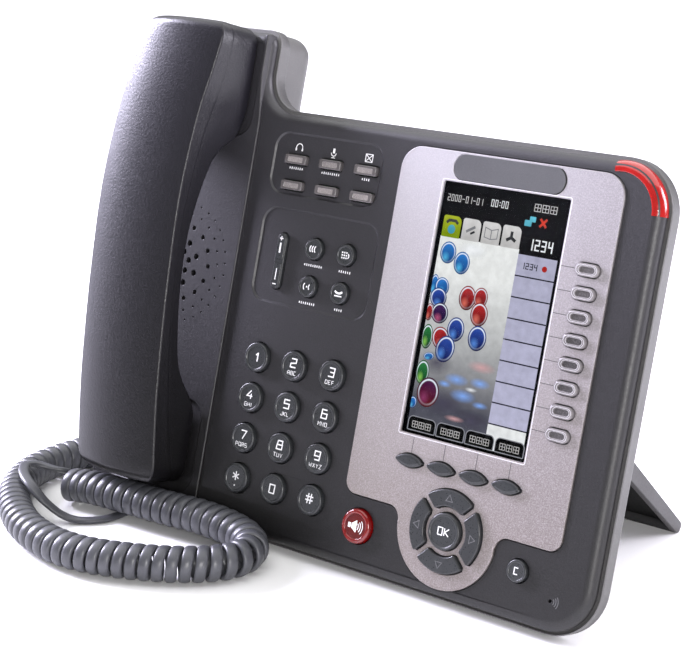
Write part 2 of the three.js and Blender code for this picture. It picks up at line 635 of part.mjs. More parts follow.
function standLeg() {
  const { left, right, sideWall, length, footRadius } = STAND;
  const inner = [left + sideWall - 0.1, right - sideWall + 0.1];
  return union(
    alongX(legSide(), left, left + sideWall),
    alongX(legSide(), right - sideWall, right),
    alongX(legPanel(), ...inner),
    rod(0, length - footRadius, footRadius, ...inner),
    rod(0, 0, STAND.barrelRadius, ...inner),
    rod(0, 0, STAND.pinRadius, HINGE_LUGS[0] - 2.4, HINGE_LUGS[1] + 2.4),
  )
    .rotate([180 - (90 - STAND.angle), 0, 0])
    .translate([0, STAND.hingeY, STAND.hingeZ]);
}

// ---- cord ----------------------------------------------------------------------------------------------
function tube(route, diameter, sides, steps) {
  const points = route.map((point) => new THREE.Vector3(...point));
  const path = new THREE.CatmullRomCurve3(points, false, 'centripetal');
  const section = new THREE.Shape();
  for (let i = 0; i < sides; i += 1) {
    const angle = 2 * Math.PI * i / sides;
    const point = [diameter / 2 * Math.cos(angle), diameter / 2 * Math.sin(angle)];
    if (i === 0) section.moveTo(...point);
    else section.lineTo(...point);
  }
  section.closePath();
  return toSolid(new THREE.ExtrudeGeometry(section, { steps, extrudePath: path, bevelEnabled: false }));
}

// ---- assembly --------------------------------------------------------------------------------------------
const phone = new THREE.Group();
const face = new THREE.Group();
face.position.set(...FACE_ORIGIN);
face.rotation.x = THREE.MathUtils.degToRad(90 - TILT);
phone.add(face);

function add(group, name, solid, material) {
  const mesh = new THREE.Mesh(toGeometry(solid), material);
  mesh.name = name;
  group.add(mesh);
}

const bezelSolid = cut(
  softPrism(bezelOutline(0), BEZEL.back, BEZEL.front, 0.4, 0.4, 1, 4),
  prism(roundedBox(around(0, 0, DISPLAY.width, DISPLAY.height), 0.8), -3, 3, 1),
  prism(stadium(0, BADGE.y, BADGE.width, BADGE.height, GAP), 0, 3, 4),
  ...keyHoles(true, -3, 3),
);

add(face, 'front_cover', frontCover(), charcoal);
add(face, 'rear_cover', rearCover(), charcoalBack);
add(face, 'display_bezel', bezelSolid, silver);
const badgeOutline = stadium(0, BADGE.y, BADGE.width, BADGE.height);
const windowOutline = roundedBox(around(0, 0, DISPLAY.width - 2 * GAP, DISPLAY.height - 2 * GAP), 0.6);
const lcdOutline = roundedBox(around(0, 0, LCD.width, LCD.height), 0.5);
add(face, 'badge_plate', softPrism(badgeOutline, GAP, 0.9, 0.3, 0.3, 1), badgeGrey);
add(face, 'display_window', prism(windowOutline, -1.2, 0.1, 1), clearGlass);
add(face, 'lcd_panel', prism(lcdOutline, LCD.back, LCD.front, 1), screen);
add(face, 'corner_light', softPrism(lensOutline(0), LENS.back, LENS.front, 1.2, 1.2, 1, 4), redLens);
add(face, 'hook_switch', hookSwitch(), keyBlack);
add(face, 'main_board', box(-118, 55, -96, 55, -8.4, -6.8), boardGreen);
add(face, 'loudspeaker', union(disc(-148, 0, 22, -9, -4, 10), disc(-148, 0, 12, -18, -8.5, 8)), coneBlack);
keys.forEach((key) => add(face, key.name, keySolid(key), key.material));
add(face, 'handset_outer_shell', handsetShell(outerSection, GAP / 2, -3), charcoal);
const innerShell = cut(handsetShell(innerSection, -GAP / 2, 3), ...earHoles(), ...mouthHoles());
add(face, 'handset_inner_shell', innerShell, charcoal);
add(face, 'handset_plug', handsetPlug(), plugClear);
add(face, 'stand_leg', standLeg(), charcoalBack);
const plugEnds = [humpBox.left - PLUG.stickOut, humpBox.left + JACK.depth - PLUG.endGap];
add(face, 'base_plug', jackBox(...plugEnds, -PLUG.clearance), plugClear);
add(phone, 'handset_cord_coil', tube(COIL_ROUTE, COIL_DIAMETER, 8, 38), cordGrey);
add(phone, 'handset_cord_handset_lead', tube(HANDSET_LEAD_ROUTE, LEAD_DIAMETER, 8, 26), cordGrey);
add(phone, 'handset_cord_base_lead', tube(BASE_LEAD_ROUTE, LEAD_DIAMETER, 8, 14), cordGrey);

export default phone;
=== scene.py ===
"""Looks of the desk phone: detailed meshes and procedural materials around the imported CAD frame."""
import math

import bpy
from mathutils import Matrix, Vector
from mathutils.geometry import tessellate_polygon


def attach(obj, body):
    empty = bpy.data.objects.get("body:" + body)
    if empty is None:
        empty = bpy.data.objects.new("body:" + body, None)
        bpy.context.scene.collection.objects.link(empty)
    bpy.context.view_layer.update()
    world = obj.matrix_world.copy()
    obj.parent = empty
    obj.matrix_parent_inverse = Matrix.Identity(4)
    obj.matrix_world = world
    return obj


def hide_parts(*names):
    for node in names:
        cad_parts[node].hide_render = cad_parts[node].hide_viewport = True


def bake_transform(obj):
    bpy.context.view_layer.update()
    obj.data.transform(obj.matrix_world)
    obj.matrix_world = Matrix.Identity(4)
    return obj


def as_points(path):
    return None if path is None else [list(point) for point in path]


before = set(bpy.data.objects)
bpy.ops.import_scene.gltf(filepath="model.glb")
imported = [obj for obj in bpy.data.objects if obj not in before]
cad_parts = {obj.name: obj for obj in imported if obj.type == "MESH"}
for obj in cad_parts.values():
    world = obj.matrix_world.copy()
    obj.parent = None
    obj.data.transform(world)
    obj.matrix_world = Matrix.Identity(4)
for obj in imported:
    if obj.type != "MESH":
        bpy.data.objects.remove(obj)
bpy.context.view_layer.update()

# ---- the face's own coordinates: millimetres, x right, y up the face, z out of it ----------------
TILT = math.radians(16)
FACE_ORIGIN = Vector((0.060, -0.023, 0.1062))
FACE = (Matrix.Translation(FACE_ORIGIN) @ Matrix.Rotation(math.pi / 2 - TILT, 4, "X")
        @ Matrix.Scale(0.001, 4))
GAP = 0.3

UP = Vector((0, 0, 1))


def new_object(name, data):
    obj = bpy.data.objects.new(name, data)
    bpy.context.scene.collection.objects.link(obj)
    return obj


# ---- camera --------------------------------------------------------------------------------------
CAMERA_AT = Vector((0.41055, -0.54494, 0.28912))
CAMERA_AIM = Vector((-0.595151, 0.751207, -0.285453))
LENS, SENSOR_WIDTH = 91.01, 36


def make_camera():
    data = bpy.data.cameras.new("camera")
    data.lens = LENS
    data.sensor_width = SENSOR_WIDTH
    camera = new_object("camera", data)
    camera.location = CAMERA_AT
    camera.rotation_euler = CAMERA_AIM.to_track_quat("-Z", "Y").to_euler()
    bpy.context.scene.camera = camera


make_camera()

# ---- cord ----------------------------------------------------------------------------------------
BASE_LEAD = [
    (-.1235, -.0273, .0242), (-.1286, -.0266, .0232), (-.132, -.0225, .020), (-.133, -.0155, .015),
    (-.132, -.008, .0096), (-.1306, -.0005, .0048), (-.1296, .0065, .002), (-.1314, .013, .00135),
    (-.137, .0164, .00135), (-.1426, .013, .00135), (-.1446, .006, .00135), (-.1438, -.003, .0014),
]
COIL = [
    (-.143, -.012, .0074), (-.147, -.024, .0074), (-.1498, -.036, .0074), (-.151, -.048, .0074),
    (-.1498, -.061, .0074), (-.143, -.0755, .0074), (-.1285, -.091, .0074), (-.109, -.1035, .0074),
    (-.089, -.110, .0074), (-.071, -.1106, .0074), (-.055, -.1064, .0074), (-.040, -.0996, .0074),
    (-.0275, -.0914, .0074), (-.019, -.082, .0074), (-.0164, -.073, .0075), (-.0194, -.065, .0078),
    (-.0276, -.0598, .0085), (-.039, -.0584, .0096), (-.052, -.0588, .0102), (-.066, -.0604, .0103),
    (-.080, -.0616, .0103), (-.095, -.0626, .0103), (-.109, -.0628, .0098), (-.1195, -.0632, .0086),
    (-.1304, -.0652, .0075),
]
HANDSET_LEAD = [
    (-.1352, -.0668, .0146), (-.1382, -.070, .0164), (-.1386, -.0748, .0172), (-.135, -.0796, .017),
    (-.1296, -.0834, .0162), (-.1236, -.0858, .0148), (-.1182, -.0862, .0114), (-.1138, -.0844, .0072),
    (-.1098, -.0818, .0036), (-.1054, -.079, .0017), (-.1006, -.0754, .00135), (-.0968, -.0706, .00135),
    (-.0952, -.065, .00135), (-.095, -.060, .00135), (-.095, -.0553, .0014),
]
TAIL = [
    (-.095, -.0573, .00137), (-.095, -.0553, .0014), (-.095, -.0515, .0027), (-.095, -.04923, .006),
    (-.095, -.04918, .0085), (-.095, -.0504, .0107), (-.095, -.0521, .0117), (-.095, -.0538, .013),
    (-.095, -.055, .0152), (-.095, -.05495, .0177), (-.095, -.0544, .0197),
]
CORD_WIDTH = 0.0046
CORD_THICK = 0.0024
COIL_RADIUS = 0.00605
COIL_PITCH = 0.0052
TURN_STEPS = 24
RAMP = 0.010
LEAD_STEP = 0.0016
SEAM_REACH, SEAM_ROUNDS = 6, 3


def catmull(points, step):
    """Points about a step apart along a smooth curve through the given ones."""
    ends = [points[0] * 2 - points[1]] + points + [points[-1] * 2 - points[-2]]
    out = []
    for i in range(1, len(ends) - 2):
        a, b, c, d = ends[i - 1:i + 3]
        count = max(1, round((c - b).length / step))
        for k in range(count):
            t = k / count
            out.append(0.5 * (2 * b + (c - a) * t + (2 * a - 5 * b + 4 * c - d) * t * t
                              + (3 * b - a - 3 * c + d) * t ** 3))
    out.append(points[-1].copy())
    return out


def spaced(points, step):
    """The same line with points at even distances."""
    out = [points[0].copy()]
    left = step
    for a, b in zip(points, points[1:]):
        length = (b - a).length
        while length >= left > 0:
            a = a + (b - a) * (left / length)
            out.append(a.copy())
            length -= left
            left = step
        left -= length
    if (out[-1] - points[-1]).length > step * 0.3:
        out.append(points[-1].copy())
    return out


def length_of(points):
    return sum((b - a).length for a, b in zip(points, points[1:]))


def phase(s, travel):
    """How far the turns have come at s. They gather speed at the start and lose it at the end."""
    if s < RAMP:
        return s * s / (2 * RAMP)
    if s > travel - RAMP:
        return travel - RAMP - (travel - s) ** 2 / (2 * RAMP)
    return s - RAMP / 2


def coil_line():
    """The helix round the coil's middle line, with its start below the line and its end on top of it."""
    axis = spaced(catmull([Vector(p) for p in COIL], 0.001), 0.0002)
    turns = round((length_of(axis) - RAMP) / COIL_PITCH) + 0.5
    out, lifts = [], []
    count = round(turns * TURN_STEPS)
    stations = [0.0]
    for a, b in zip(axis, axis[1:]):
        stations.append(stations[-1] + (b - a).length)
    travel = stations[-1]
    scale = turns * 2 * math.pi / (travel - RAMP)
    wanted = [scale * phase(s, travel) for s in stations]
    j = 0
    for k in range(count + 1):
        angle = 2 * math.pi * turns * k / count
        while j + 1 < len(wanted) - 1 and wanted[j + 1] < angle:
            j += 1
        share = min(max((angle - wanted[j]) / max(wanted[j + 1] - wanted[j], 1e-9), 0), 1)
        centre = axis[j].lerp(axis[j + 1], share)
        tangent = (axis[j + 1] - axis[j]).normalized()
        side = tangent.cross(UP).normalized()
        lift = side.cross(tangent)
        swing = angle - math.pi / 2
        radial = side * math.cos(swing) + lift * math.sin(swing)
        out.append(centre + radial * COIL_RADIUS)
        lifts.append(radial)
    return out, lifts


def ribbon_tube(name, line, hints, sides=14):
    """A rounded flat cord along a line; hints are the directions that its thickness faces."""
    squareness, steepest = 0.8, 0.35
    rings = []
    normal = None
    for i, p in enumerate(line):
        tangent = (line[min(i + 1, len(line) - 1)] - line[max(i - 1, 0)]).normalized()
        carried = None if normal is None else (normal - tangent * normal.dot(tangent)).normalized()
        flat = hints[i] - tangent * hints[i].dot(tangent)
        if flat.length > steepest:
            flat = flat.normalized()
            if carried is not None:
                if flat.dot(carried) < 0:
                    flat = -flat
                flat = carried.lerp(flat, 0.5).normalized()
            normal = flat
        else:
            normal = carried
        across = tangent.cross(normal)
        ring = []
        for k in range(sides):
            a = 2 * math.pi * k / sides
            c, s = math.cos(a), math.sin(a)
            x = math.copysign(abs(c) ** squareness, c) * CORD_WIDTH / 2
            y = math.copysign(abs(s) ** squareness, s) * CORD_THICK / 2
            ring.append(p + across * x + normal * y)
        rings.append(ring)
    points = [p for ring in rings for p in ring]
    faces = []
    for i in range(len(rings) - 1):
        for k in range(sides):
            a, b = i * sides + k, i * sides + (k + 1) % sides
            faces.append((a, b, b + sides, a + sides))
    faces.append(tuple(reversed(range(sides))))
    faces.append(tuple(range(len(points) - sides, len(points))))
    mesh = bpy.data.meshes.new(name)
    mesh.from_pydata(points, [], faces)
    mesh.shade_smooth()
    return new_object(name, mesh)


def cord_line():
    """The whole cord's middle line, with the direction that its thickness faces at each point."""
    first, last = (spaced(catmull([Vector(p) for p in lead], 0.001), LEAD_STEP)
                   for lead in (BASE_LEAD, HANDSET_LEAD))
    coil, radials = coil_line()
    line = first + coil + last
    hints = [UP] * len(first) + radials + [UP] * len(last)
    # the bends are averaged out where the straight leads meet the coil
    for seam in (len(first), len(first) + len(coil)):
        for _ in range(SEAM_ROUNDS):
            for i in range(max(1, seam - SEAM_REACH), min(len(line) - 1, seam + SEAM_REACH)):
                line[i] = (line[i - 1] + line[i] * 2 + line[i + 1]) / 4
    return line, hints


CORD_LINE, CORD_HINTS = cord_line()
cord = ribbon_tube("handset_cord", CORD_LINE, CORD_HINTS)
TAIL_LINE = spaced(catmull([Vector(p) for p in TAIL], 0.0005), 0.0008)
tail = ribbon_tube("handset_cord_tail", TAIL_LINE, [UP] * len(TAIL_LINE))
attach(cord, "body")
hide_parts("handset_cord_coil", "handset_cord_base_lead", "handset_cord_handset_lead")
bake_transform(tail)
length_of(CORD_LINE)
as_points(CORD_LINE)


# ---- outlines: lists of (x, y, nx, ny), anticlockwise, with their outward directions -------------
def arc(cx, cy, radius, start, end, steps=None):
    """A clockwise arc belongs to a hollow corner, so its outward direction faces its own centre."""
    turn = 1 if end > start else -1
    count = steps or max(2, round(abs(end - start) / 7.5))
    out = []
    for i in range(count + 1):
        a = math.radians(start + (end - start) * i / count)
        c, s = math.cos(a), math.sin(a)
        out.append((cx + radius * c, cy + radius * s, turn * c, turn * s))
    return out


def rounded(corners):
    """A polygon of (x, y, radius) corners, anticlockwise, each rounded by an arc."""
    out = []
    for i, (x, y, radius) in enumerate(corners):
        corner = Vector((x, y))
        back = (Vector(corners[i - 1][:2]) - corner).normalized()
        ahead = (Vector(corners[(i + 1) % len(corners)][:2]) - corner).normalized()
        half = back.angle(ahead) / 2
        centre = corner + (back + ahead).normalized() * (radius / math.sin(half))
        start = corner + back * (radius / math.tan(half)) - centre
        end = corner + ahead * (radius / math.tan(half)) - centre
        first = math.degrees(math.atan2(start.y, start.x))
        last = math.degrees(math.atan2(end.y, end.x))
        if back.x * ahead.y - back.y * ahead.x > 0:
            last = first - (first - last) % 360
        else:
            last = first + (last - first) % 360
        out += arc(centre.x, centre.y, radius, first, last)
    return out


def slab(left, right, bottom, top, radius):
    corners = (right, bottom), (right, top), (left, top), (left, bottom)
    return rounded([(x, y, radius) for x, y in corners])


def centred(x, y, width, height, radius):
    return slab(x - width / 2, x + width / 2, y - height / 2, y + height / 2, radius)


def pill(x, y, width, height):
    """A slot with half-round ends along its longer side."""
    radius = min(width, height) / 2
    reach_x, reach_y = max(width - height, 0) / 2, max(height - width, 0) / 2
    start = -90 if reach_x > 0 else 0
    return (arc(x + reach_x, y + reach_y, radius, start, start + 180, 16)
            + arc(x - reach_x, y - reach_y, radius, start + 180, start + 360, 16))


def circle(x, y, radius, steps=40):
    return arc(x, y, radius, 0, 360, steps)[:-1]


def almond(x, y, width, height, steps=14):
    """Two arcs that meet in small round noses."""
    nose = 0.55
    half, rise = width / 2 - nose, height / 2
    radius = (half ** 2 + rise ** 2 - nose ** 2) / (2 * (rise - nose))
    spread = math.degrees(math.asin(half / (radius - nose)))
    return (arc(x, y + rise - radius, radius, 90 - spread, 90 + spread, steps)
            + arc(x - half, y, nose, 90 + spread, 270 - spread, 6)
            + arc(x, y - rise + radius, radius, 270 - spread, 270 + spread, steps)
            + arc(x + half, y, nose, -90 + spread, 90 - spread, 6))


def shift(outline, out):
    return [(x + nx * out, y + ny * out, nx, ny) for x, y, nx, ny in outline]


# ---- meshes gathered from runs of rings ----------------------------------------------------------
class Build:
    """Collects rings and caps, with the direction that each point faces, into one mesh."""

    def __init__(self):
        self.points, self.normals, self.faces, self.slots = [], [], [], []

    def add_points(self, points, normals):
        first = len(self.points)
        self.points += [Vector(p) for p in points]
        self.normals += [Vector(n).normalized() for n in normals]
        return first

    def add_face(self, corners, slot=0):
        corners = list(dict.fromkeys(corners))
        if len(corners) < 3:
            return
        a, b, c = (self.points[i] for i in corners[:3])
        facing = sum((self.normals[i] for i in corners), Vector())
        flat = (b - a).cross(c - b)
        if len(corners) > 3:
            flat += (self.points[corners[3]] - c).cross(a - self.points[corners[3]])
        if flat.dot(facing) < 0:
            corners.reverse()
        self.faces.append(corners)
        self.slots.append(slot)

    def flat(self, points, normal, slot=0):
        """One flat face with its own corners, all facing the same way."""
        points = list(points)
        first = self.add_points(points, [normal] * len(points))
        self.add_face(range(first, first + len(points)), slot)

    def bridge(self, starts, count, slot=0, closed=True, skip=None):
        """Faces between neighbouring rings of count points that begin at the given places."""
        for a, b in zip(starts, starts[1:]):
            for k in range(count if closed else count - 1):
                j = (k + 1) % count
                if not (skip and skip(self.points[a + k].x, self.points[a + k].y)):
                    self.add_face((a + k, a + j, b + j, b + k), slot)

    def run(self, outline, profile, slot=0, inside=False, skip=None):
        """Rings of the outline along a profile of (out, z, lean): lean 0 faces outwards, 90 along +z."""
        way = -1 if inside else 1
        starts = []
        for out, z, lean in profile:
            c, s = math.cos(math.radians(lean)), math.sin(math.radians(lean))
            ring = shift(outline, out)
            starts.append(self.add_points([(x, y, z) for x, y, _, _ in ring],
                                          [(nx * c * way, ny * c * way, s) for _, _, nx, ny in ring]))
        self.bridge(starts, len(outline), slot, skip=skip)

    def cap(self, outline, z, holes=(), up=1, slot=0):
        """A flat face at z inside one outline and outside the holes' outlines."""
        loops = [[Vector((x, y, 0)) for x, y, _, _ in loop] for loop in (outline, *holes)]
        loops = [[p for i, p in enumerate(loop) if (p - loop[i - 1]).length > 1e-5] for loop in loops]
        flat = [p for loop in loops for p in loop]
        first = self.add_points([(p.x, p.y, z) for p in flat], [(0, 0, up)] * len(flat))
        for triangle in tessellate_polygon(loops):
            self.add_face([first + i for i in triangle], slot)

    def key(self, outline, back, front, edge, slot=0, dish=0.0, rim=0.0):
        """A cap with a round edge, and a dished middle inside a rim if asked."""
        self.run(outline, [(0, back, 0), *round_edge(0, front, edge)], slot)
        if dish:
            self.run(outline, [(-edge, front, 90), (-edge - rim, front, 90)], slot)
            inner = -edge - rim
            self.run(outline, [(inner - dish * pull, front - dish * drop, lean) for pull, drop, lean in
                               ((0, 0, 90), (0.5, 0.3, 130), (1, 0.8, 130), (1.6, 1, 90))], slot)
            self.cap(shift(outline, inner - dish * 1.6), front - dish, slot=slot)
        else:
            self.cap(shift(outline, -edge), front, slot=slot)

    def hole(self, outline, front, depth, edge):
        """The wall of a hole with a softened mouth; returns the outline that the plate's cap leaves out."""
        self.run(outline, [(0, front - depth, 0), *mouth(front, edge)], inside=True)
        return shift(outline, edge)

    def thicken(self, path, width, z, height=0.06, slot=0, closed=False):
        """A thin raised line of the given width along a path of points."""
        line = [Vector(p) for p in path]
        count = len(line)
        sides = []
        for i, p in enumerate(line):
            before = line[i - 1] if closed else line[max(i - 1, 0)]
            after = line[(i + 1) % count] if closed else line[min(i + 1, count - 1)]
            one = (p - before).normalized() if (p - before).length > 1e-9 else (after - p).normalized()
            two = (after - p).normalized() if (after - p).length > 1e-9 else one
            mid = (one + two).normalized()
            mitre = Vector((-mid.y, mid.x)) / max(0.5, mid.dot(one))
            sides.append((p + mitre * width / 2, p - mitre * width / 2))
        top = self.add_points([(q.x, q.y, z + height) for pair in sides for q in pair], [UP] * (2 * count))
        spans = range(count if closed else count - 1)
        for i in spans:
            j = (i + 1) % count
            self.add_face((top + 2 * i, top + 2 * j, top + 2 * j + 1, top + 2 * i + 1), slot)
        for side, way in ((0, 1), (1, -1)):
            for i in spans:
                a, b = sides[i][side], sides[(i + 1) % count][side]
                n = Vector((-(b - a).y, (b - a).x)).normalized() * way
                high = z + height
                self.flat([(a.x, a.y, z), (b.x, b.y, z), (b.x, b.y, high), (a.x, a.y, high)],
                          (n.x, n.y, 0), slot)

    def make(self, name, materials, body, replaces=(), slot=None):
        mesh = bpy.data.meshes.new(name)
        mesh.from_pydata(self.points, [], self.faces)
        mesh.polygons.foreach_set("material_index", self.slots)
        mesh.shade_smooth()
        mesh.normals_split_custom_set_from_vertices([tuple(n) for n in self.normals])
        mesh.transform(FACE)
        for material in materials:
            mesh.materials.append(material)
        obj = new_object(name, mesh)
        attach(obj, body)
        if replaces:
            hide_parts(*replaces)


def round_edge(out, front, size, depth=None, steps=5, up=1):
    """The rings of a rounded edge that ends size inside out, at height front."""
    depth = size if depth is None else depth
    rings = []
    for i in range(steps + 1):
        a = math.pi / 2 * i / steps
        lean = math.degrees(math.atan2(math.sin(a) / depth, math.cos(a) / size))
        rings.append((out - size * (1 - math.cos(a)), front - up * depth * (1 - math.sin(a)), up * lean))
    return rings


def mouth(front, edge, steps=3):
    """The rings of a hole's softened mouth, which opens out by edge."""
    rings = []
    for i in range(steps + 1):
        a = math.pi / 2 * i / steps
        rings.append((edge * (1 - math.cos(a)), front - edge * (1 - math.sin(a)), math.degrees(a)))
    return rings


# ---- materials -----------------------------------------------------------------------------------
def linear(value):
    """An sRGB level from 0 to 255 as a linear share."""
    v = value / 255
    return v / 12.92 if v <= 0.04045 else ((v + 0.055) / 1.055) ** 2.4


def rgb(r, g, b):
    return (linear(r), linear(g), linear(b), 1)


def shade(colour, share):
    """The colour made darker or brighter."""
    return (*(min(1, c * share) for c in colour[:3]), 1)


class Nodes:
    """A short way to write a material's nodes."""

    def __init__(self, name):
        self.material = bpy.data.materials.new(name)
        self.material.use_nodes = True
        self.tree = self.material.node_tree
        self.shader = self.tree.nodes["Principled BSDF"]
        self.place = self.tree.nodes.new("ShaderNodeTexCoord").outputs["Object"]

    def feed(self, node, socket, source):
        """A link from another node's output, or a plain value on the socket itself."""
        if hasattr(source, "is_output"):
            self.tree.links.new(source, node.inputs[socket])
        else:
            node.inputs[socket].default_value = source

    def node(self, kind, links=(), **settings):
        node = self.tree.nodes.new("ShaderNode" + kind)
        for key, value in settings.items():
            setattr(node, key, value)
        for socket, source in links:
            self.feed(node, socket, source)
        return node

    def noise(self, scale, detail=2.0, rough=0.5):
        return self.node("TexNoise", [("Vector", self.place), ("Scale", scale), ("Detail", detail),
                                      ("Roughness", rough)]).outputs[0]

    def span(self, value, low, high, start=0.3, end=0.7):
        """The value, from start to end, turned into low to high."""
        return self.node("MapRange", [(0, value), (1, start), (2, end), (3, low), (4, high)]).outputs[0]

    def mix(self, share, first, second):
        return self.node("Mix", [(0, share), (6, first), (7, second)], data_type="RGBA").outputs[2]

    def split(self, source):
        return self.node("SeparateXYZ", [(0, source)]).outputs

    def sum(self, operation, *values):
        return self.node("Math", list(enumerate(values)), operation=operation).outputs[0]

    def set(self, socket, source):
        self.feed(self.shader, socket, source)

    def set_all(self, fixed):
        for socket, value in fixed.items():
            self.set(socket.replace("_", " "), value)

    def bump(self, height, strength, distance):
        links = [("Strength", strength), ("Distance", distance), ("Height", height)]
        self.set("Normal", self.node("Bump", links).outputs[0])

    def light_up(self, colour):
        """A part of the lit display, which gives its own colour and reflects next to nothing."""
        self.set("Base Color", (0.001, 0.001, 0.001, 1))
        self.set("Specular IOR Level", 0.1)
        self.set("Emission Color", colour)
        self.set("Emission Strength", 1.0)

    def disc(self):
        """The UVs of a disc on the display, and how far a point is from its middle."""
        uv = self.node("UVMap", uv_map="bead").outputs[0]
        return uv, self.node("VectorMath", [(0, uv)], operation="LENGTH").outputs["Value"]


def plastic(name, dark, light, rough, grain=0.25, grain_scale=1500, rise=False, **fixed):
    """Moulded plastic: a fine grain, uneven polish, and a colour mottled at random or, with rise, running
    from dark low down to light higher up as painted shade and painted light.
    """
    n = Nodes(name)
    fine = n.noise(grain_scale, 3, 0.6)
    speck = n.noise(2600, 1)
    # with rise the colour follows height above the desk: painted shade near the desk, painted light higher
    # up; without it the mottle is random
    share = n.span(n.split(n.place)[2], 0, 1, 0.02, 0.19) if rise else n.span(n.noise(45, 3), 0, 1)
    body = n.mix(share, dark, light)
    n.set("Base Color", n.mix(n.span(speck, 0.0, 0.22, 0.35, 0.75), body, shade(light, 1.7)))
    n.set("Roughness", n.span(fine, rough - 0.05, rough + 0.07))
    n.bump(fine, grain, 0.00012)
    n.set_all(fixed)
    return n.material


def printed(name, colour, rough=0.5):
    """Ink on plastic, a little uneven; the same also makes the painted highlight lines."""
    n = Nodes(name)
    worn = n.noise(900, 2)
    n.set("Base Color", n.mix(n.span(worn, 0, 1), shade(colour, 0.88), colour))
    n.set("Roughness", n.span(worn, rough - 0.06, rough + 0.06))
    return n.material


def lit(name, low, high, bottom, top):
    """A part of the lit display, with its colour running between two heights on the face."""
    n = Nodes(name)
    n.light_up(n.mix(n.span(n.split(n.place)[2], 0, 1, face_z(bottom), face_z(top)), low, high))
    n.set("Roughness", 0.6)
    return n.material


def bead(name, deep, mid, bright):
    """A glass bead shown on the display: dark foot, glowing middle and pale rim, laid out by UVs."""
    n = Nodes(name)
    uv, away = n.disc()
    height = n.split(uv)[1]
    fill = n.mix(n.span(height, 0, 1, -0.7, 0.6), deep, mid)
    spot = [(0, uv), (1, (-0.25, -0.45, 0))]
    glow = n.node("VectorMath", spot, operation="DISTANCE").outputs["Value"]
    fill = n.mix(n.span(glow, 0.75, 0, 0.05, 0.55), fill, bright)
    ring = n.sum("ABSOLUTE", n.sum("SUBTRACT", away, 0.83))
    rim = n.sum("MULTIPLY", n.span(ring, 1, 0, 0.02, 0.09), n.span(height, 0.15, 1, -0.8, 0.5))
    colour = n.mix(rim, fill, (0.85, 0.92, 1, 1))
    n.light_up(n.mix(n.span(away, 0, 0.75, 0.88, 1.0), colour, shade(deep, 0.35)))
    return n.material


def blur(name, colour):
    """A soft patch of light on the display that fades out towards its edge."""
    n = Nodes(name)
    _, away = n.disc()
    n.light_up(n.mix(n.span(away, 0, 1, 0, 1), shade(colour, 1.3), colour))
    n.set("Alpha", n.span(away, 0.85, 0, 0.05, 0.95))
    return n.material


def silver_paint():
    """Fine metal flake over painted light and shade: lighter towards the top of the plate, darker towards its
    foot and its right edge.
    """
    n = Nodes("silver_paint")
    flake = n.noise(2200, 2, 0.7)
    across, _, up = n.split(n.place)
    # painted light towards the plate's top and painted shade towards its foot; the next line adds painted
    # shade towards its right edge
    body = n.mix(n.span(up, 0, 1, 0.03, 0.155), rgb(134, 125, 122), rgb(174, 171, 177))
    body = n.mix(n.span(across, 0, 0.55, 0.02, 0.115), body, rgb(100, 92, 92))
    n.set("Base Color", n.mix(n.span(flake, 0, 0.28, 0.42, 0.72), body, rgb(222, 218, 222)))
    n.set("Metallic", 0.45)
    n.set("Roughness", n.span(flake, 0.42, 0.6))
    n.bump(flake, 0.12, 0.00006)
    return n.material


def clear_plastic(name, colour, rough, transmission, **fixed):
    n = Nodes(name)
    haze = n.noise(300, 2)
    n.set("Base Color", n.mix(n.span(haze, 0, 1), shade(colour, 0.85), colour))
    n.set("Roughness", n.span(haze, rough, rough + 0.06))
    n.set("Transmission Weight", transmission)
    n.set_all(fixed)
    return n.material


# the charcoal plastics run from their darker colour near the desk to the lighter one higher up: painted shade
# and painted light by height
CHARCOAL = plastic("charcoal_plastic", rgb(8, 7, 7), rgb(44, 43, 47), 0.42, grain=0.5, grain_scale=1100,
                   rise=True)
CHARCOAL_HANDSET = plastic("handset_plastic", rgb(6, 5, 5), rgb(27, 26, 32), 0.34, grain=0.9,
                           grain_scale=1000, rise=True, Specular_IOR_Level=0.4)
CHARCOAL_BACK = plastic("back_plastic", rgb(76, 75, 76), rgb(88, 87, 88), 0.42)
STAND_PLASTIC = plastic("stand_plastic", rgb(46, 44, 46), rgb(54, 52, 54), 0.46)
# near-black for hole floors, screw cross slots, pin ends on the lugs and the stand's underside and ribs:
# painted shade where these lie in shadow
PAINTED_SHADE_BLACK = plastic("painted_shade_black", rgb(3, 3, 3), rgb(7, 7, 7), 0.6, Specular_IOR_Level=0.2)
KEY = plastic("key_plastic", rgb(38, 39, 41), rgb(44, 46, 48), 0.3, grain=0.012)
SMOKE = plastic("smoke_plastic", rgb(72, 69, 70), rgb(88, 84, 85), 0.18, grain=0.04)
SMOKE_INNER = plastic("smoke_window", rgb(96, 92, 92), rgb(140, 134, 133), 0.25, grain=0.04)
CLEAR_KEY = plastic("clear_key_rim", rgb(104, 100, 102), rgb(124, 120, 122), 0.15, grain=0.02)
LINE_WINDOW = plastic("line_key_window", rgb(62, 60, 62), rgb(84, 81, 83), 0.25, grain=0.04)
SILVER = silver_paint()
BADGE_GREY = plastic("badge_inlay", rgb(66, 66, 69), rgb(74, 74, 77), 0.45, grain=0.15)
LEADER = printed("leader_ink", rgb(62, 60, 62))
WHITE_INK = printed("white_ink", rgb(236, 236, 238))
GREY_INK = printed("grey_ink", rgb(96, 96, 99))
# pale lines for the shine round the display window and along the line keys' rims: painted highlight
PAINTED_HIGHLIGHT = printed("painted_highlight_line", rgb(214, 212, 218), 0.3)
CORD_GREY = plastic("cord_jacket", rgb(60, 61, 66), rgb(72, 73, 78), 0.38, grain=0.01, grain_scale=600)
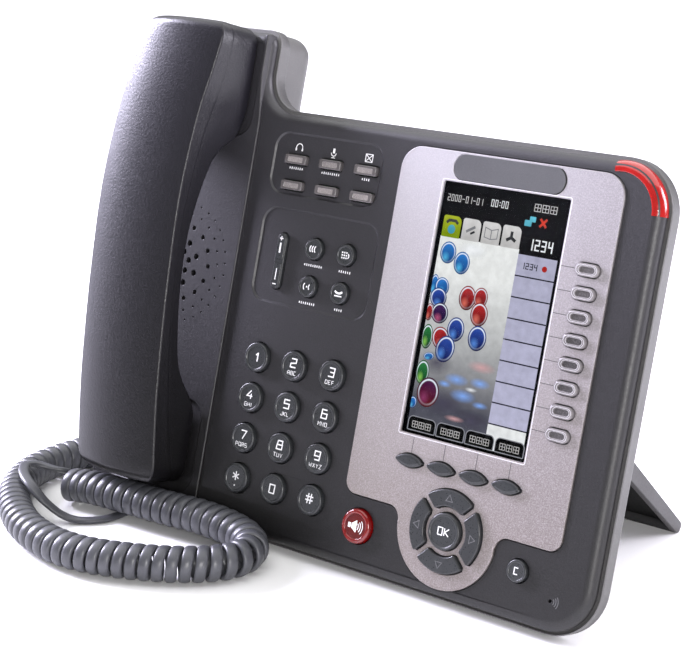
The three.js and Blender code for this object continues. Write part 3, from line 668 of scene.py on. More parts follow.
# a faint painted glow: the unlit red lens and the speaker key's red ring give off a little light of their own
RED_LENS = clear_plastic("red_lens", rgb(160, 14, 13), 0.16, 0.1, Emission_Color=(0.5, 0.005, 0.003, 1),
                         Emission_Strength=0.05, Coat_Weight=0.6)
RED_DARK = clear_plastic("red_key_face", rgb(92, 6, 8), 0.18, 0.1, Coat_Weight=0.5)
RED_RING = clear_plastic("red_key_ring", rgb(122, 8, 9), 0.14, 0.15, Emission_Color=(0.3, 0.002, 0.002, 1),
                         Emission_Strength=0.05, Coat_Weight=0.6)
GLASS = clear_plastic("display_glass", (0.95, 0.97, 1, 1), 0.01, 1.0, IOR=1.07)
PLUG_CLEAR = clear_plastic("plug_plastic", (0.8, 0.82, 0.84, 1), 0.08, 0.75)
GOLD = printed("gold_contacts", (0.75, 0.5, 0.15, 1), 0.25)
RUBBER = plastic("rubber_foot", rgb(24, 24, 25), rgb(30, 30, 31), 0.75)
STEEL = printed("screw_steel", rgb(150, 150, 155), 0.3)
BOARD = plastic("board_mask", rgb(14, 60, 34), rgb(20, 74, 42), 0.4)
CONE = plastic("paper_cone", rgb(20, 20, 21), rgb(28, 28, 29), 0.8)
cord.data.materials.append(CORD_GREY)
tail.data.materials.append(CORD_GREY)

# ---- the body's outlines -------------------------------------------------------------------------
BODY = {"left": -186, "right": 66, "top": 66.5, "bottom": -107, "corner": 20, "left_corner": 14}
HORN = {"right": -122, "top": 98, "corner": 7, "left_corner": 8, "fillet": 14, "back": -29}
COVER_INSET, PARTING, BEVEL_SIZE, BEVEL_DEPTH = 1.6, -4.2, 4.2, 3.6
RIM_BACK = -11
BODY_OUTLINE = rounded([
    (BODY["right"], BODY["bottom"], BODY["corner"]), (BODY["right"], BODY["top"], BODY["corner"]),
    (HORN["right"], BODY["top"], HORN["fillet"]), (HORN["right"], HORN["top"], HORN["corner"]),
    (BODY["left"], HORN["top"], HORN["left_corner"]), (BODY["left"], BODY["bottom"], BODY["left_corner"]),
])
STRIP_RISE = 1.5
STRIP_EDGE = 0.7
CRADLE_OUTLINE = rounded([
    (-122, -104.5, 5), (-122, 60, 40), (-124.6, 78, 40), (-124.6, 95.5, 0.8), (-126.5, 95.5, 0.8),
    (-126.5, 53, 8), (-178, 53, 8), (-178, 95.5, 1.5), (-183.5, 95.5, 3.5), (-183.5, -104.5, 10),
    (-159.5, -104.5, 1), (-159.5, -97.5, 1), (-178, -97.5, 8), (-178, -58, 8), (-126.5, -58, 8),
    (-126.5, -97.5, 8), (-150.5, -97.5, 1), (-150.5, -104.5, 1),
])
EAR_FLOOR, MOUTH_FLOOR = -0.6, -0.1
BEZEL = {"left": -48.6, "right": 49, "top": 59.6, "bottom": -76.5}
LOBE_X, LOBE_Y, LOBE_RADIUS, LOBE_FILLET = 0.2, -80.5, 22, 5


def bezel_outline():
    fillet_y = BEZEL["bottom"] - LOBE_FILLET
    reach = math.sqrt((LOBE_RADIUS + LOBE_FILLET) ** 2 - (fillet_y - LOBE_Y) ** 2)
    lean = math.degrees(math.atan2(LOBE_Y - fillet_y, reach))
    low, high = 5, 9
    left, right, top, bottom = BEZEL["left"], BEZEL["right"], BEZEL["top"], BEZEL["bottom"]
    return (arc(right - low, bottom + low, low, -90, 0) + arc(right - high, top - high, high, 0, 90)
            + arc(left + high, top - high, high, 90, 180) + arc(left + low, bottom + low, low, 180, 270)
            + arc(LOBE_X - reach, fillet_y, LOBE_FILLET, 90, lean)
            + arc(LOBE_X, LOBE_Y, LOBE_RADIUS, 180 + lean, 360 - lean)
            + arc(LOBE_X + reach, fillet_y, LOBE_FILLET, 180 - lean, 90))


BEZEL_OUTLINE = bezel_outline()
MENU_PANEL = slab(-112, -58.5, 33.4, 57, 6)
CALL_PANEL = slab(-112, -54.5, -10.5, 26.5, 6)
PANEL_DEPTH = 0.5

# ---- where the keys are --------------------------------------------------------------------------
DIGITS = ["1", "2", "3", "4", "5", "6", "7", "8", "9", "star", "0", "hash"]
PAD_COLUMNS, PAD_TOP, PAD_PITCH, PAD_RADIUS = (-102.65, -83.28, -63.91), -34.04, 16.62, 6
PAD_BACK, PAD_FRONT = -2.6, 2
PAD = {d: (PAD_COLUMNS[i % 3], PAD_TOP - PAD_PITCH * (i // 3)) for i, d in enumerate(DIGITS)}
MENU_KEYS = [(-100.44 + 17.66 * (i % 3), 47.1 - 10.44 * (i // 3)) for i in range(6)]
CALL_NAMES = ["conference", "redial", "transfer", "hold"]
CALL_KEYS = {n: (-83.55 + 16.01 * (i % 2), 13.19 - 15.13 * (i // 2)) for i, n in enumerate(CALL_NAMES)}
CALL_RADIUS = 4.25
VOLUME_X, VOLUME_Y, VOLUME_WIDTH, VOLUME_LENGTH = -100.3, 5.85, 4.7, 22.7
SPEAKER_X, SPEAKER_Y, SPEAKER_RADIUS = -39.6, -88.3, 6.75
CLEAR_X, CLEAR_Y, CLEAR_RADIUS = 33.4, -86.7, 4.2
LINE_X, LINE_TOP, LINE_PITCH, LINE_WIDTH, LINE_HEIGHT = 39.8, 24.44, 8.556, 9.7, 4.7
LINE_YS = [LINE_TOP - LINE_PITCH * i for i in range(8)]
SOFT_XS = [-20.88 + 14.57 * i for i in range(4)]
SOFT_Y, SOFT_WIDTH, SOFT_HEIGHT = -58.24, 12.3, 5
NAV_X, NAV_Y, NAV_OUTER, NAV_INNER, NAV_SLOT, OK_RADIUS = 0.5, -80.4, 15.8, 9.4, 2.4, 7
MIC_X, MIC_Y = 48.4, -93.8


def quadrant(angle, soft=0.7):
    """A quarter of the navigation ring between two straight slots, with its corners softened."""
    half = NAV_SLOT / 2
    wide_out = 45 - math.degrees(math.asin(half / NAV_OUTER) + soft / NAV_OUTER)
    wide_in = 45 - math.degrees(math.asin(half / NAV_INNER) + soft / NAV_INNER)
    outer = arc(NAV_X, NAV_Y, NAV_OUTER, angle - wide_out, angle + wide_out, 20)
    inner = arc(NAV_X, NAV_Y, NAV_INNER, angle + wide_in, angle - wide_in, 16)
    out = []
    for chain, following, way in ((outer, inner, 1), (inner, outer, -1)):
        facing = math.radians(angle + way * 135)
        normal = Vector((math.cos(facing), math.sin(facing)))
        a, b = Vector(chain[-1][:2]), Vector(following[0][:2])
        along = (b - a).normalized() * soft
        out += chain
        for base, step in ((a, along), (b, -along)):
            p = base + step + normal * soft
            out.append((p.x, p.y, normal.x, normal.y))
    return out


# ---- front cover ---------------------------------------------------------------------------------
MAIN_LEFT = -124
FLAT = shift(BODY_OUTLINE, -COVER_INSET - BEVEL_SIZE)
SPEAKER_CENTRE = (-152, -2.5)
# each ring of the loudspeaker's holes: ring radius, how many, hole radius, first angle
SPEAKER_RINGS = [(0, 1, 1.25, 0), (4.6, 6, 1.25, 15), (9, 8, 1.25, 21.8), (15.5, 15, 1.0, 25.1),
                 (20.5, 23, 0.5, 36.2), (24.7, 32, 0.42, 29.2)]


def main_outline():
    """The flat face to the right of the cradle's edge."""
    first = next(i for i, p in enumerate(FLAT) if p[0] <= MAIN_LEFT)
    chain = [p for p in FLAT[:first] if p[0] > MAIN_LEFT]
    high = chain[-1][1] + 0.5
    return chain + [(MAIN_LEFT, high, -1, 0), (MAIN_LEFT, BODY["bottom"] + COVER_INSET + BEVEL_SIZE, -1, 0)]


def around(x, y, radius, degrees):
    return x + radius * math.cos(math.radians(degrees)), y + radius * math.sin(math.radians(degrees))


def speaker_holes():
    return [circle(*around(*SPEAKER_CENTRE, radius, start + 360 * i / count), size, 16 if size > 0.8 else 10)
            for radius, count, size, start in SPEAKER_RINGS for i in range(count)]


HOOK_OUTLINE = centred(-155, 84, 12, 5, 1)
HOOK_FOOT, HOOK_BACK, HOOK_FLANGE = -5.5, -6.6, 1.5


def hook_lever():
    """The small bar in the ear's bay that the handset presses in."""
    b = Build()
    b.key(HOOK_OUTLINE, HOOK_FOOT, EAR_FLOOR + 0.2, 0.8)
    b.run(HOOK_OUTLINE, [(0, HOOK_FOOT, 90), (HOOK_FLANGE, HOOK_FOOT, 90)])
    b.run(HOOK_OUTLINE, [(HOOK_FLANGE, HOOK_FOOT, 0), (HOOK_FLANGE, HOOK_BACK, 0)])
    b.cap(shift(HOOK_OUTLINE, HOOK_FLANGE), HOOK_BACK, up=-1)
    b.make("hook_lever", [KEY], "hook_switch", ["hook_switch"], "key_black")


# the notch in the lower edge where the cord enters the handset
NOTCH_LEFT, NOTCH_RIGHT, NOTCH_TOP = -160, -150, -90


def in_notch(x, y):
    return NOTCH_LEFT < x < NOTCH_RIGHT and y < NOTCH_TOP


def front_cover():
    b = Build()
    edge = 0.3
    wall = [(-COVER_INSET, PARTING, 0), *round_edge(-COVER_INSET, 0, BEVEL_SIZE, BEVEL_DEPTH, 8)]
    b.run(BODY_OUTLINE, wall, skip=in_notch)
    b.run(BODY_OUTLINE, [(-COVER_INSET, PARTING, -90), (-COVER_INSET - 1.8, PARTING, -90)], skip=in_notch)
    key_holes = [circle(*PAD[d], PAD_RADIUS + GAP) for d in DIGITS]
    key_holes += [circle(SPEAKER_X, SPEAKER_Y, SPEAKER_RADIUS + GAP),
                  circle(CLEAR_X, CLEAR_Y, CLEAR_RADIUS + GAP)]
    holes = [b.hole(outline, 0, 3, edge) for outline in key_holes]
    mic = circle(MIC_X, MIC_Y, 0.7, 16)
    holes.append(b.hole(mic, 0, 2, 0.15))
    # the microphone hole's floor is painted shade
    b.cap(mic, -2, slot=1)
    recess = shift(BEZEL_OUTLINE, GAP)
    holes.append(b.hole(recess, 0, 1.2, edge))
    b.run(recess, [(0, -1.2, 90), (-2, -1.2, 90)])
    panels = ((MENU_PANEL, [centred(x, y, 11 + 2 * GAP, 3.8 + 2 * GAP, 1.2) for x, y in MENU_KEYS]),
              (CALL_PANEL, [circle(x, y, CALL_RADIUS + GAP) for x, y in CALL_KEYS.values()]
               + [pill(VOLUME_X, VOLUME_Y, VOLUME_WIDTH + 2 * GAP, VOLUME_LENGTH + 2 * GAP)]))
    for outline, inner in panels:
        slope = [(0, -PANEL_DEPTH, 90), (0.05, -PANEL_DEPTH, 50), (0.75, -0.08, 50), (0.95, 0, 90)]
        b.run(outline, slope, inside=True)
        holes.append(shift(outline, slope[-1][0]))
        b.cap(outline, -PANEL_DEPTH, [b.hole(hole, -PANEL_DEPTH, 3, 0.25) for hole in inner])
    b.cap(main_outline(), 0, holes)
    # the cradle's raised strip, its bays for the handset and the loudspeaker's holes
    b.run(CRADLE_OUTLINE, [(0, -4, 0), *round_edge(0, STRIP_RISE, STRIP_EDGE)])
    mouths = []
    for outline in speaker_holes():
        mouths.append(b.hole(outline, STRIP_RISE, 1.3, 0.12))
        # each loudspeaker hole's floor is painted shade
        b.cap(outline, STRIP_RISE - 1.3, slot=1)
    b.cap(shift(CRADLE_OUTLINE, -STRIP_EDGE), STRIP_RISE, mouths)
    b.cap(slab(-178.6, -126, 52.4, 92.4, 2), EAR_FLOOR, [b.hole(shift(HOOK_OUTLINE, GAP), EAR_FLOOR, 3, 0.3)])
    mouth_floor = rounded([(-126, -98, 1), (-126, -57.4, 1), (-178.6, -57.4, 1), (-178.6, -98, 1),
                           (-160, -98, 0.5), (-160, -93, 0.5), (-150, -93, 0.5), (-150, -98, 0.5)])
    b.cap(mouth_floor, MOUTH_FLOOR)
    b.make("front_cover_shell", [CHARCOAL, PAINTED_SHADE_BLACK], "body", ["front_cover"], "front_cover")


# ---- rear cover ----------------------------------------------------------------------------------
HUMP_OUTLINE = slab(-176, 56, -97, 56.5, 12)
HORN_OUTLINE = slab(-184, -122.6, 30, 97.4, 8.5)
HUMP_BACK = -26
JACK_Y, JACK_Z = -80, -18.5


LABEL_PLATE = slab(-85, -35, -2, 26, 3)
SCREW_PLACES = [(x, y) for x in (-166, 46) for y in (-60, 46)]
LEFT_VENTS = [pill(-150 + 22 * i, y, 15, 2.4) for i in range(3) for y in (0, 6, 12)]
RIGHT_VENTS = [pill(5 + 20 * i, y, 14, 2.2) for i in range(3) for y in (-8, -2, 4, 10, 16)]
HANGING_HOLES = [circle(x, 40, 3.4, 24) for x in (-90, -20)]
SOCKETS = [centred(-56 + 22 * i, -86, 14, 11, 0.8) for i in range(3)] + [circle(22, -86, 4.2, 28)]
LUG_XS, HINGE_Y, HINGE_Z = (-162, 42), -33, -31.5


def rear_cover():
    b = Build()
    rim_edge, hump_edge, lip = 1.2, 3, 0.2
    rim = [(-2.6, PARTING - GAP, 90), (-0.45, PARTING - GAP, 90),
           *reversed(round_edge(0, PARTING - GAP, 0.45, steps=3)), (0, RIM_BACK + rim_edge, 0),
           *round_edge(0, RIM_BACK, rim_edge, steps=4, up=-1)]
    b.run(BODY_OUTLINE, rim)
    b.cap(shift(BODY_OUTLINE, -rim_edge), RIM_BACK, [shift(HUMP_OUTLINE, -0.5)], up=-1)
    b.run(HORN_OUTLINE, [(0, PARTING - 1, 0), *round_edge(0, HORN["back"], 8, steps=8, up=-1)])
    b.cap(shift(HORN_OUTLINE, -8), HORN["back"], up=-1)
    b.run(HUMP_OUTLINE, [(0, RIM_BACK + 0.5, 0), *round_edge(0, HUMP_BACK, hump_edge, steps=6, up=-1)])
    wells = HANGING_HOLES + [circle(x, y, 3.2, 24) for x, y in SCREW_PLACES]
    holes = []
    # slot 1 is painted shade: the floors of the vents, wells and sockets; the label plate's floor keeps the
    # rear plastic
    for group, depth, slot in ((LEFT_VENTS + RIGHT_VENTS, 1.6, 1), (wells, 2.4, 1), ([LABEL_PLATE], 0.4, 0),
                               (SOCKETS, 9, 1)):
        for outline in group:
            wall = [(lip, HUMP_BACK, -90), (0, HUMP_BACK + lip, -20), (0, HUMP_BACK + depth, 0)]
            b.run(outline, wall, inside=True)
            b.cap(outline, HUMP_BACK + depth, up=-1, slot=slot)
            holes.append(shift(outline, lip))
    b.cap(shift(HUMP_OUTLINE, -hump_edge), HUMP_BACK, holes, up=-1)
    for x, y in SCREW_PLACES:
        screw(b, x, y, HUMP_BACK + 2.3)
    for x in LUG_XS:
        lug(b, x)
    b.make("rear_cover_shell", [CHARCOAL_BACK, PAINTED_SHADE_BLACK, STEEL], "body", ["rear_cover"], "rear_cover")


def screw(b, x, y, z):
    head = circle(x, y, 2.6, 24)
    b.run(head, [(0, z, 0), *round_edge(0, z - 1, 0.5, steps=3, up=-1)], 2)
    cross = [centred(x, y, 3.0, 0.7, 0.1), centred(x, y, 0.7, 3.0, 0.1)]
    b.cap(shift(head, -0.5), z - 1, up=-1, slot=2)
    # the cross slot is painted shade
    for bar in cross:
        b.cap(bar, z - 1.03, up=-1, slot=1)


def lug(b, x):
    """A rounded ear on the back that carries the stand's pin."""
    y, z = HINGE_Y, HINGE_Z
    side = [(y - 8, HUMP_BACK + 0.5), (y - 4.6, z - 2)]
    side += [around(y, z, 5, 200 + 140 * i / 12) for i in range(13)]
    side += [(y + 4.6, z - 1.8), (y + 8, HUMP_BACK + 0.5)]
    rings = []
    for off, pull in ((-3, 0.5), (-2.5, 0), (2.5, 0), (3, 0.5)):
        rings.append([(x + off, py - math.copysign(min(abs(py - y), pull), py - y),
                       pz + (pull if pz < z else 0)) for py, pz in side])
    normals = []
    for i, (py, pz) in enumerate(side):
        before, after = side[max(i - 1, 0)], side[min(i + 1, len(side) - 1)]
        t = Vector((after[0] - before[0], after[1] - before[1])).normalized()
        normals.append((0, t.y, -t.x))
    b.bridge([b.add_points(ring, normals) for ring in rings], len(side), closed=False)
    for ring, way in ((rings[0], -1), (rings[-1], 1)):
        b.flat(ring, (way, 0, 0))
        # a dark disc on each side of the lug is painted shade for the pin's hole
        b.flat([(x + way * 3.02, *around(y, z, 2.6, 18 * i)) for i in range(20)], (way, 0, 0), 1)


# ---- bezel, badge, display -----------------------------------------------------------------------
DISPLAY_WIDTH, DISPLAY_HEIGHT = 55.5, 96.3
BEZEL_FRONT = 0.5
BADGE_Y, BADGE_WIDTH, BADGE_HEIGHT = 54, 49, 10


def display_bezel():
    b = Build()
    bead_top = BEZEL_FRONT + 0.12
    b.run(BEZEL_OUTLINE, [(0, -0.9, 0), *round_edge(0, bead_top, 0.35, steps=4), (-0.6, bead_top, 95),
                          (-0.85, BEZEL_FRONT, 95)])
    window = centred(0, 0, DISPLAY_WIDTH, DISPLAY_HEIGHT, 0.8)
    cut = [(window, 0.45), (pill(0, BADGE_Y, BADGE_WIDTH + 0.4, BADGE_HEIGHT + 0.4), 0.25)]
    cut += [(pill(LINE_X, y, LINE_WIDTH + 2 * GAP, LINE_HEIGHT + 2 * GAP), 0.3) for y in LINE_YS]
    cut += [(shift(almond(x, SOFT_Y, SOFT_WIDTH, SOFT_HEIGHT), GAP), 0.3) for x in SOFT_XS]
    cut += [(shift(quadrant(90 * i), GAP), 0.25) for i in range(4)]
    cut += [(circle(NAV_X, NAV_Y, OK_RADIUS + GAP), 0.25)]
    holes = [b.hole(outline, BEZEL_FRONT, 1.4, edge) for outline, edge in cut]
    b.cap(shift(BEZEL_OUTLINE, -0.85), BEZEL_FRONT, holes)
    leaders = [[(DISPLAY_WIDTH / 2 + 0.9, y), (LINE_X - LINE_WIDTH / 2 - 0.7, y)] for y in LINE_YS]
    leaders += [[(x, -DISPLAY_HEIGHT / 2 - 0.9), (x, SOFT_Y + SOFT_HEIGHT / 2 + 0.4)] for x in SOFT_XS]
    for path in leaders:
        b.thicken(path, 0.24, BEZEL_FRONT, 0.03, 1)
    # a pale line round the display window: painted highlight
    frame_line = [(x, y) for x, y, _, _ in centred(0, 0, DISPLAY_WIDTH + 1.3, DISPLAY_HEIGHT + 1.3, 0.8)]
    b.thicken(frame_line, 0.3, BEZEL_FRONT, 0.03, 2, closed=True)
    b.make("display_bezel_plate", [SILVER, LEADER, PAINTED_HIGHLIGHT], "body", ["display_bezel"], "bezel")


def badge():
    b = Build()
    b.key(pill(0, BADGE_Y, BADGE_WIDTH - 0.2, BADGE_HEIGHT - 0.2), GAP, 0.8, 0.3)
    b.make("badge_inlay_plate", [BADGE_GREY], "body", ["badge_plate"], "badge")


def window():
    b = Build()
    outline = centred(0, 0, DISPLAY_WIDTH - 0.3, DISPLAY_HEIGHT - 0.3, 0.7)
    b.run(outline, [(0, -0.9, 0), (0, -0.15, 0), (-0.15, 0, 90)])
    b.cap(shift(outline, -0.15), 0)
    b.cap(outline, -0.9, up=-1)
    b.make("display_window_pane", [GLASS], "body", ["display_window"], "window")


# ---- display picture: flat shapes in layers under the window -------------------------------------
LCD_FRONT = -1.6
LAYER = 0.02
SEGMENTS = {"0": "abcdef", "1": "bc", "2": "abged", "3": "abgcd", "4": "fgbc", "5": "afgcd", "6": "afgedc",
            "7": "abc", "8": "abcdefg", "9": "abcdfg", "-": "g"}


def face_z(y):
    """How high a point of the face stands above the desk, in metres, for the display's gradients."""
    return FACE_ORIGIN.z + y / 1000 * math.cos(TILT)


def screen_flat(b, outline, layer, slot):
    b.cap(outline, LCD_FRONT + layer * LAYER, slot=slot)


def bars(b, text, x, y, width, height, stroke, z, slot, gap=0.5):
    """Digits written with seven bars each."""
    for symbol in text:
        if symbol == ":":
            for dy in (-height * 0.22, height * 0.22):
                b.thicken([(x, y + dy), (x + stroke * 1.4, y + dy)], stroke * 1.4, z, 0.01, slot)
            x += stroke * 2 + gap
            continue
        if symbol in SEGMENTS:
            w, h = width / 2, height / 2
            ends = {"a": ((-w, h), (w, h)), "g": ((-w, 0), (w, 0)), "d": ((-w, -h), (w, -h)),
                    "f": ((-w, h), (-w, 0)), "b": ((w, h), (w, 0)), "e": ((-w, 0), (-w, -h)),
                    "c": ((w, 0), (w, -h))}
            for name in SEGMENTS[symbol]:
                (x0, y0), (x1, y1) = ends[name]
                dx, dy = (stroke / 2, 0) if y0 == y1 else (0, stroke / 2)
                b.thicken([(x + w + x0 - dx, y + y0 + dy), (x + w + x1 + dx, y + y1 - dy)],
                          stroke, z, 0.01, slot)
        x += width + stroke + gap


def sign(b, x, y, size, z, slot):
    """A small square crossed by two bars, in place of a written sign."""
    half = size / 2
    corners = [(x - half, y - half), (x + half, y - half), (x + half, y + half), (x - half, y + half)]
    b.thicken(corners, 0.24, z, 0.01, slot, closed=True)
    b.thicken([(x - half, y), (x + half, y)], 0.22, z, 0.01, slot)
    b.thicken([(x, y - half), (x, y + half)], 0.22, z, 0.01, slot)


PICTURE_LEFT, BEADS_RIGHT, BEADS_BOTTOM = -26.4, 8.8, -41.6


def lcd():
    """The lit picture: a black band with digits and tabs, a pale ground for the beads, and cells."""
    b = Build()
    black, pale, tab, green, cell, line, white, grey_tab, icon, blue, red = range(11)
    b.run(centred(0, 0, 60, 100, 0.5), [(0, -4.6, 0), (0, LCD_FRONT, 0)], black)
    b.cap(centred(0, 0, 60, 100, 0.5), LCD_FRONT, slot=black)
    b.cap(centred(0, 0, 60, 100, 0.5), -4.6, up=-1, slot=black)
    left, right, bottom = PICTURE_LEFT, -PICTURE_LEFT, -47
    cells_left, picture_top, foot = 8.9, 27.5, bottom + 5.2
    screen_flat(b, slab(left, cells_left - 0.01, bottom, picture_top, 0.05), 1, pale)
    cell_top = 25.8
    rows = 8
    pitch = (cell_top - foot - 4.4) / rows
    screen_flat(b, slab(cells_left, right - 0.8, foot + 4.4, cell_top, 0.05), 1, cell)
    screen_flat(b, slab(cells_left, right - 0.8, bottom, foot + 4.4, 0.05), 1, white)
    for i in range(1, rows + 1):
        y = cell_top - pitch * i
        b.thicken([(cells_left, y), (right - 0.8, y)], 0.5, LCD_FRONT + LAYER * 1.5, 0.01, line)
    for i in range(4):
        x = left + 0.2 + 8.9 * i
        shape = rounded([(x + 8.1, picture_top - 0.2, 0.1), (x + 8.1, picture_top + 8, 2.2),
                         (x, picture_top + 8, 1), (x, picture_top - 0.2, 0.1)])
        screen_flat(b, shape, 2, green if i == 0 else tab)
    z = LCD_FRONT + LAYER * 3
    # small tab marks: a receiver, an arrow, an open book and a spoked wheel
    x = left + 4.3
    b.thicken([(x - 2.6, picture_top + 5.2), (x - 1.4, picture_top + 6.2), (x + 1.4, picture_top + 6.2),
               (x + 2.6, picture_top + 5.2)], 1.1, z, 0.01, icon)
    screen_flat(b, circle(x, picture_top + 2.9, 1.7, 20), 3, blue)
    x += 8.9
    b.thicken([(x - 2.2, picture_top + 3), (x + 1.6, picture_top + 5.2)], 1.0, z, 0.01, grey_tab)
    b.thicken([(x - 0.2, picture_top + 2.4), (x + 1.6, picture_top + 3.4)], 0.8, z, 0.01, icon)
    x += 8.9
    book = [(-2.8, 2.2), (-2.8, 5.8), (0, 5), (2.8, 5.8), (2.8, 2.2), (0, 1.6)]
    b.thicken([(x + px, picture_top + py) for px, py in book], 0.35, z, 0.01, grey_tab, closed=True)
    b.thicken([(x, picture_top + 1.6), (x, picture_top + 5)], 0.35, z, 0.01, grey_tab)
    x += 8.9
    for k in range(3):
        hub = (x, picture_top + 3.6)
        b.thicken([hub, around(*hub, 2.3, 90 + 120 * k)], 1.2, z, 0.01, icon)
    # date-like digits, clock and extension number
    bars(b, "2000-01-01", -26, 42.2, 0.9, 2.3, 0.24, z, tab, 0.5)
    bars(b, "00:00", -6.4, 42.6, 0.95, 2.4, 0.28, z, white, 0.5)
    for i in range(3):
        sign(b, 13.6 + 3.4 * i, 43.4, 2.6, z, tab)
    screen_flat(b, centred(10.6, 37.4, 3, 2.2, 0.3), 3, blue)
    screen_flat(b, centred(12.4, 39, 2.6, 2, 0.3), 4, blue)
    for way in (-1, 1):
        b.thicken([(15.6, 38.2 - 1.5 * way), (18.4, 38.2 + 1.5 * way)], 0.9, z, 0.01, red)
    bars(b, "1234", 12.6, 29.9, 1.5, 3.6, 0.55, z, white, 0.75)
    bars(b, "1234", 11.2, cell_top - pitch / 2, 1.0, 2.0, 0.36, z, line, 0.45)
    screen_flat(b, circle(20.9, cell_top - pitch / 2, 1.1, 16), 3, red)
    # soft key tabs along the foot
    for i in range(4):
        x = left + 0.5 + 13.2 * i
        shape = rounded([(x + 12.1, bottom + 0.2, 0.2), (x + 12.1, foot, 1.8), (x, foot, 1.8),
                         (x, bottom + 0.2, 0.2)])
        screen_flat(b, shift(shape, 0.35), 2, grey_tab)
        screen_flat(b, shape, 3, black)
        for k in range(3):
            sign(b, x + 3 + 3 * k, bottom + 2.4, 2.3, z + LAYER, tab)
    b.make("lcd_picture", [
        lit("lcd_black", (0.0, 0.0, 0.0, 1), (0.003, 0.003, 0.004, 1), -48, 48),
        lit("lcd_photo", rgb(82, 82, 92), rgb(240, 240, 236), -36, 14),
        lit("lcd_tab", rgb(196, 193, 190), rgb(222, 219, 216), 28, 35),
        lit("lcd_green", rgb(128, 150, 14), rgb(178, 190, 40), 28, 35),
        lit("lcd_cell", rgb(190, 188, 212), rgb(180, 178, 200), -40, 26),
        lit("lcd_line", rgb(30, 28, 44), rgb(20, 20, 30), -40, 26),
        lit("lcd_white", rgb(238, 238, 236), rgb(246, 246, 246), -48, 46),
        lit("lcd_grey", rgb(150, 150, 156), rgb(128, 128, 130), -48, 46),
        lit("lcd_icon", rgb(30, 32, 34), rgb(70, 70, 74), 28, 35),
        lit("lcd_blue", rgb(60, 150, 175), rgb(110, 205, 220), 28, 42),
        lit("lcd_red", rgb(170, 30, 22), rgb(226, 70, 50), 20, 42),
    ], "body", ["lcd_panel"], "screen")


# x, y, width, height, turn, kind
BEADS = [
    (-21.6, 21.6, 6.2, 7.6, 0, "sky"), (-14.8, 18.6, 6.2, 7.8, 0, "sky"),
    (-25.2, 8.9, 3.2, 7, 0, "sky"), (-21.6, 8.6, 5.4, 6.4, 20, "sky"), (-22.4, 4.2, 6.4, 7, 25, "blue"),
    (-20.6, -1.4, 6.6, 7.2, 10, "wine"), (-25.4, -1.8, 3, 6, 0, "red"),
    (-9.6, 6.2, 6.4, 8.4, 0, "red"), (-3.8, 7.2, 5.4, 7, 0, "red"), (-3.2, 1.0, 6.6, 8.2, 0, "red"),
    (-24.4, -11.0, 4.4, 8.6, 0, "green"), (-18.2, -10.6, 6.6, 8, 25, "red"),
    (-12.2, -6.2, 6.6, 8.4, 0, "blue"),
    (-2.2, -7.8, 7, 8.6, 0, "blue"), (-15.4, -14.2, 7.2, 9.4, -15, "blue"),
    (-23.6, -24.6, 5.2, 8.4, 0, "green"), (-19.6, -31.6, 8.6, 10.4, -8, "plum"),
    (-25.6, -36.6, 3, 4, 0, "sky"),
    (-22, -18.2, 4, 2.6, 10, "sky"),
]
# x, y, width, height, kind
BLURS = [
    (-12, -34, 26, 13, "dusk"), (2, -38, 18, 9, "dusk"), (-18, -20, 16, 10, "dusk"), (2, -18, 14, 5, "rose"),
    (-8, -24.5, 12, 5, "haze"), (2.4, -24, 10, 4.4, "haze"), (-4, -30, 13, 5.5, "haze"),
    (-13, -27, 7, 3, "haze"),
    (-1, -27, 6, 2, "glow"), (4, -32, 8, 3, "haze"), (-6, -39, 10, 2.6, "rose"), (-11, 24, 14, 6, "glow"),
]


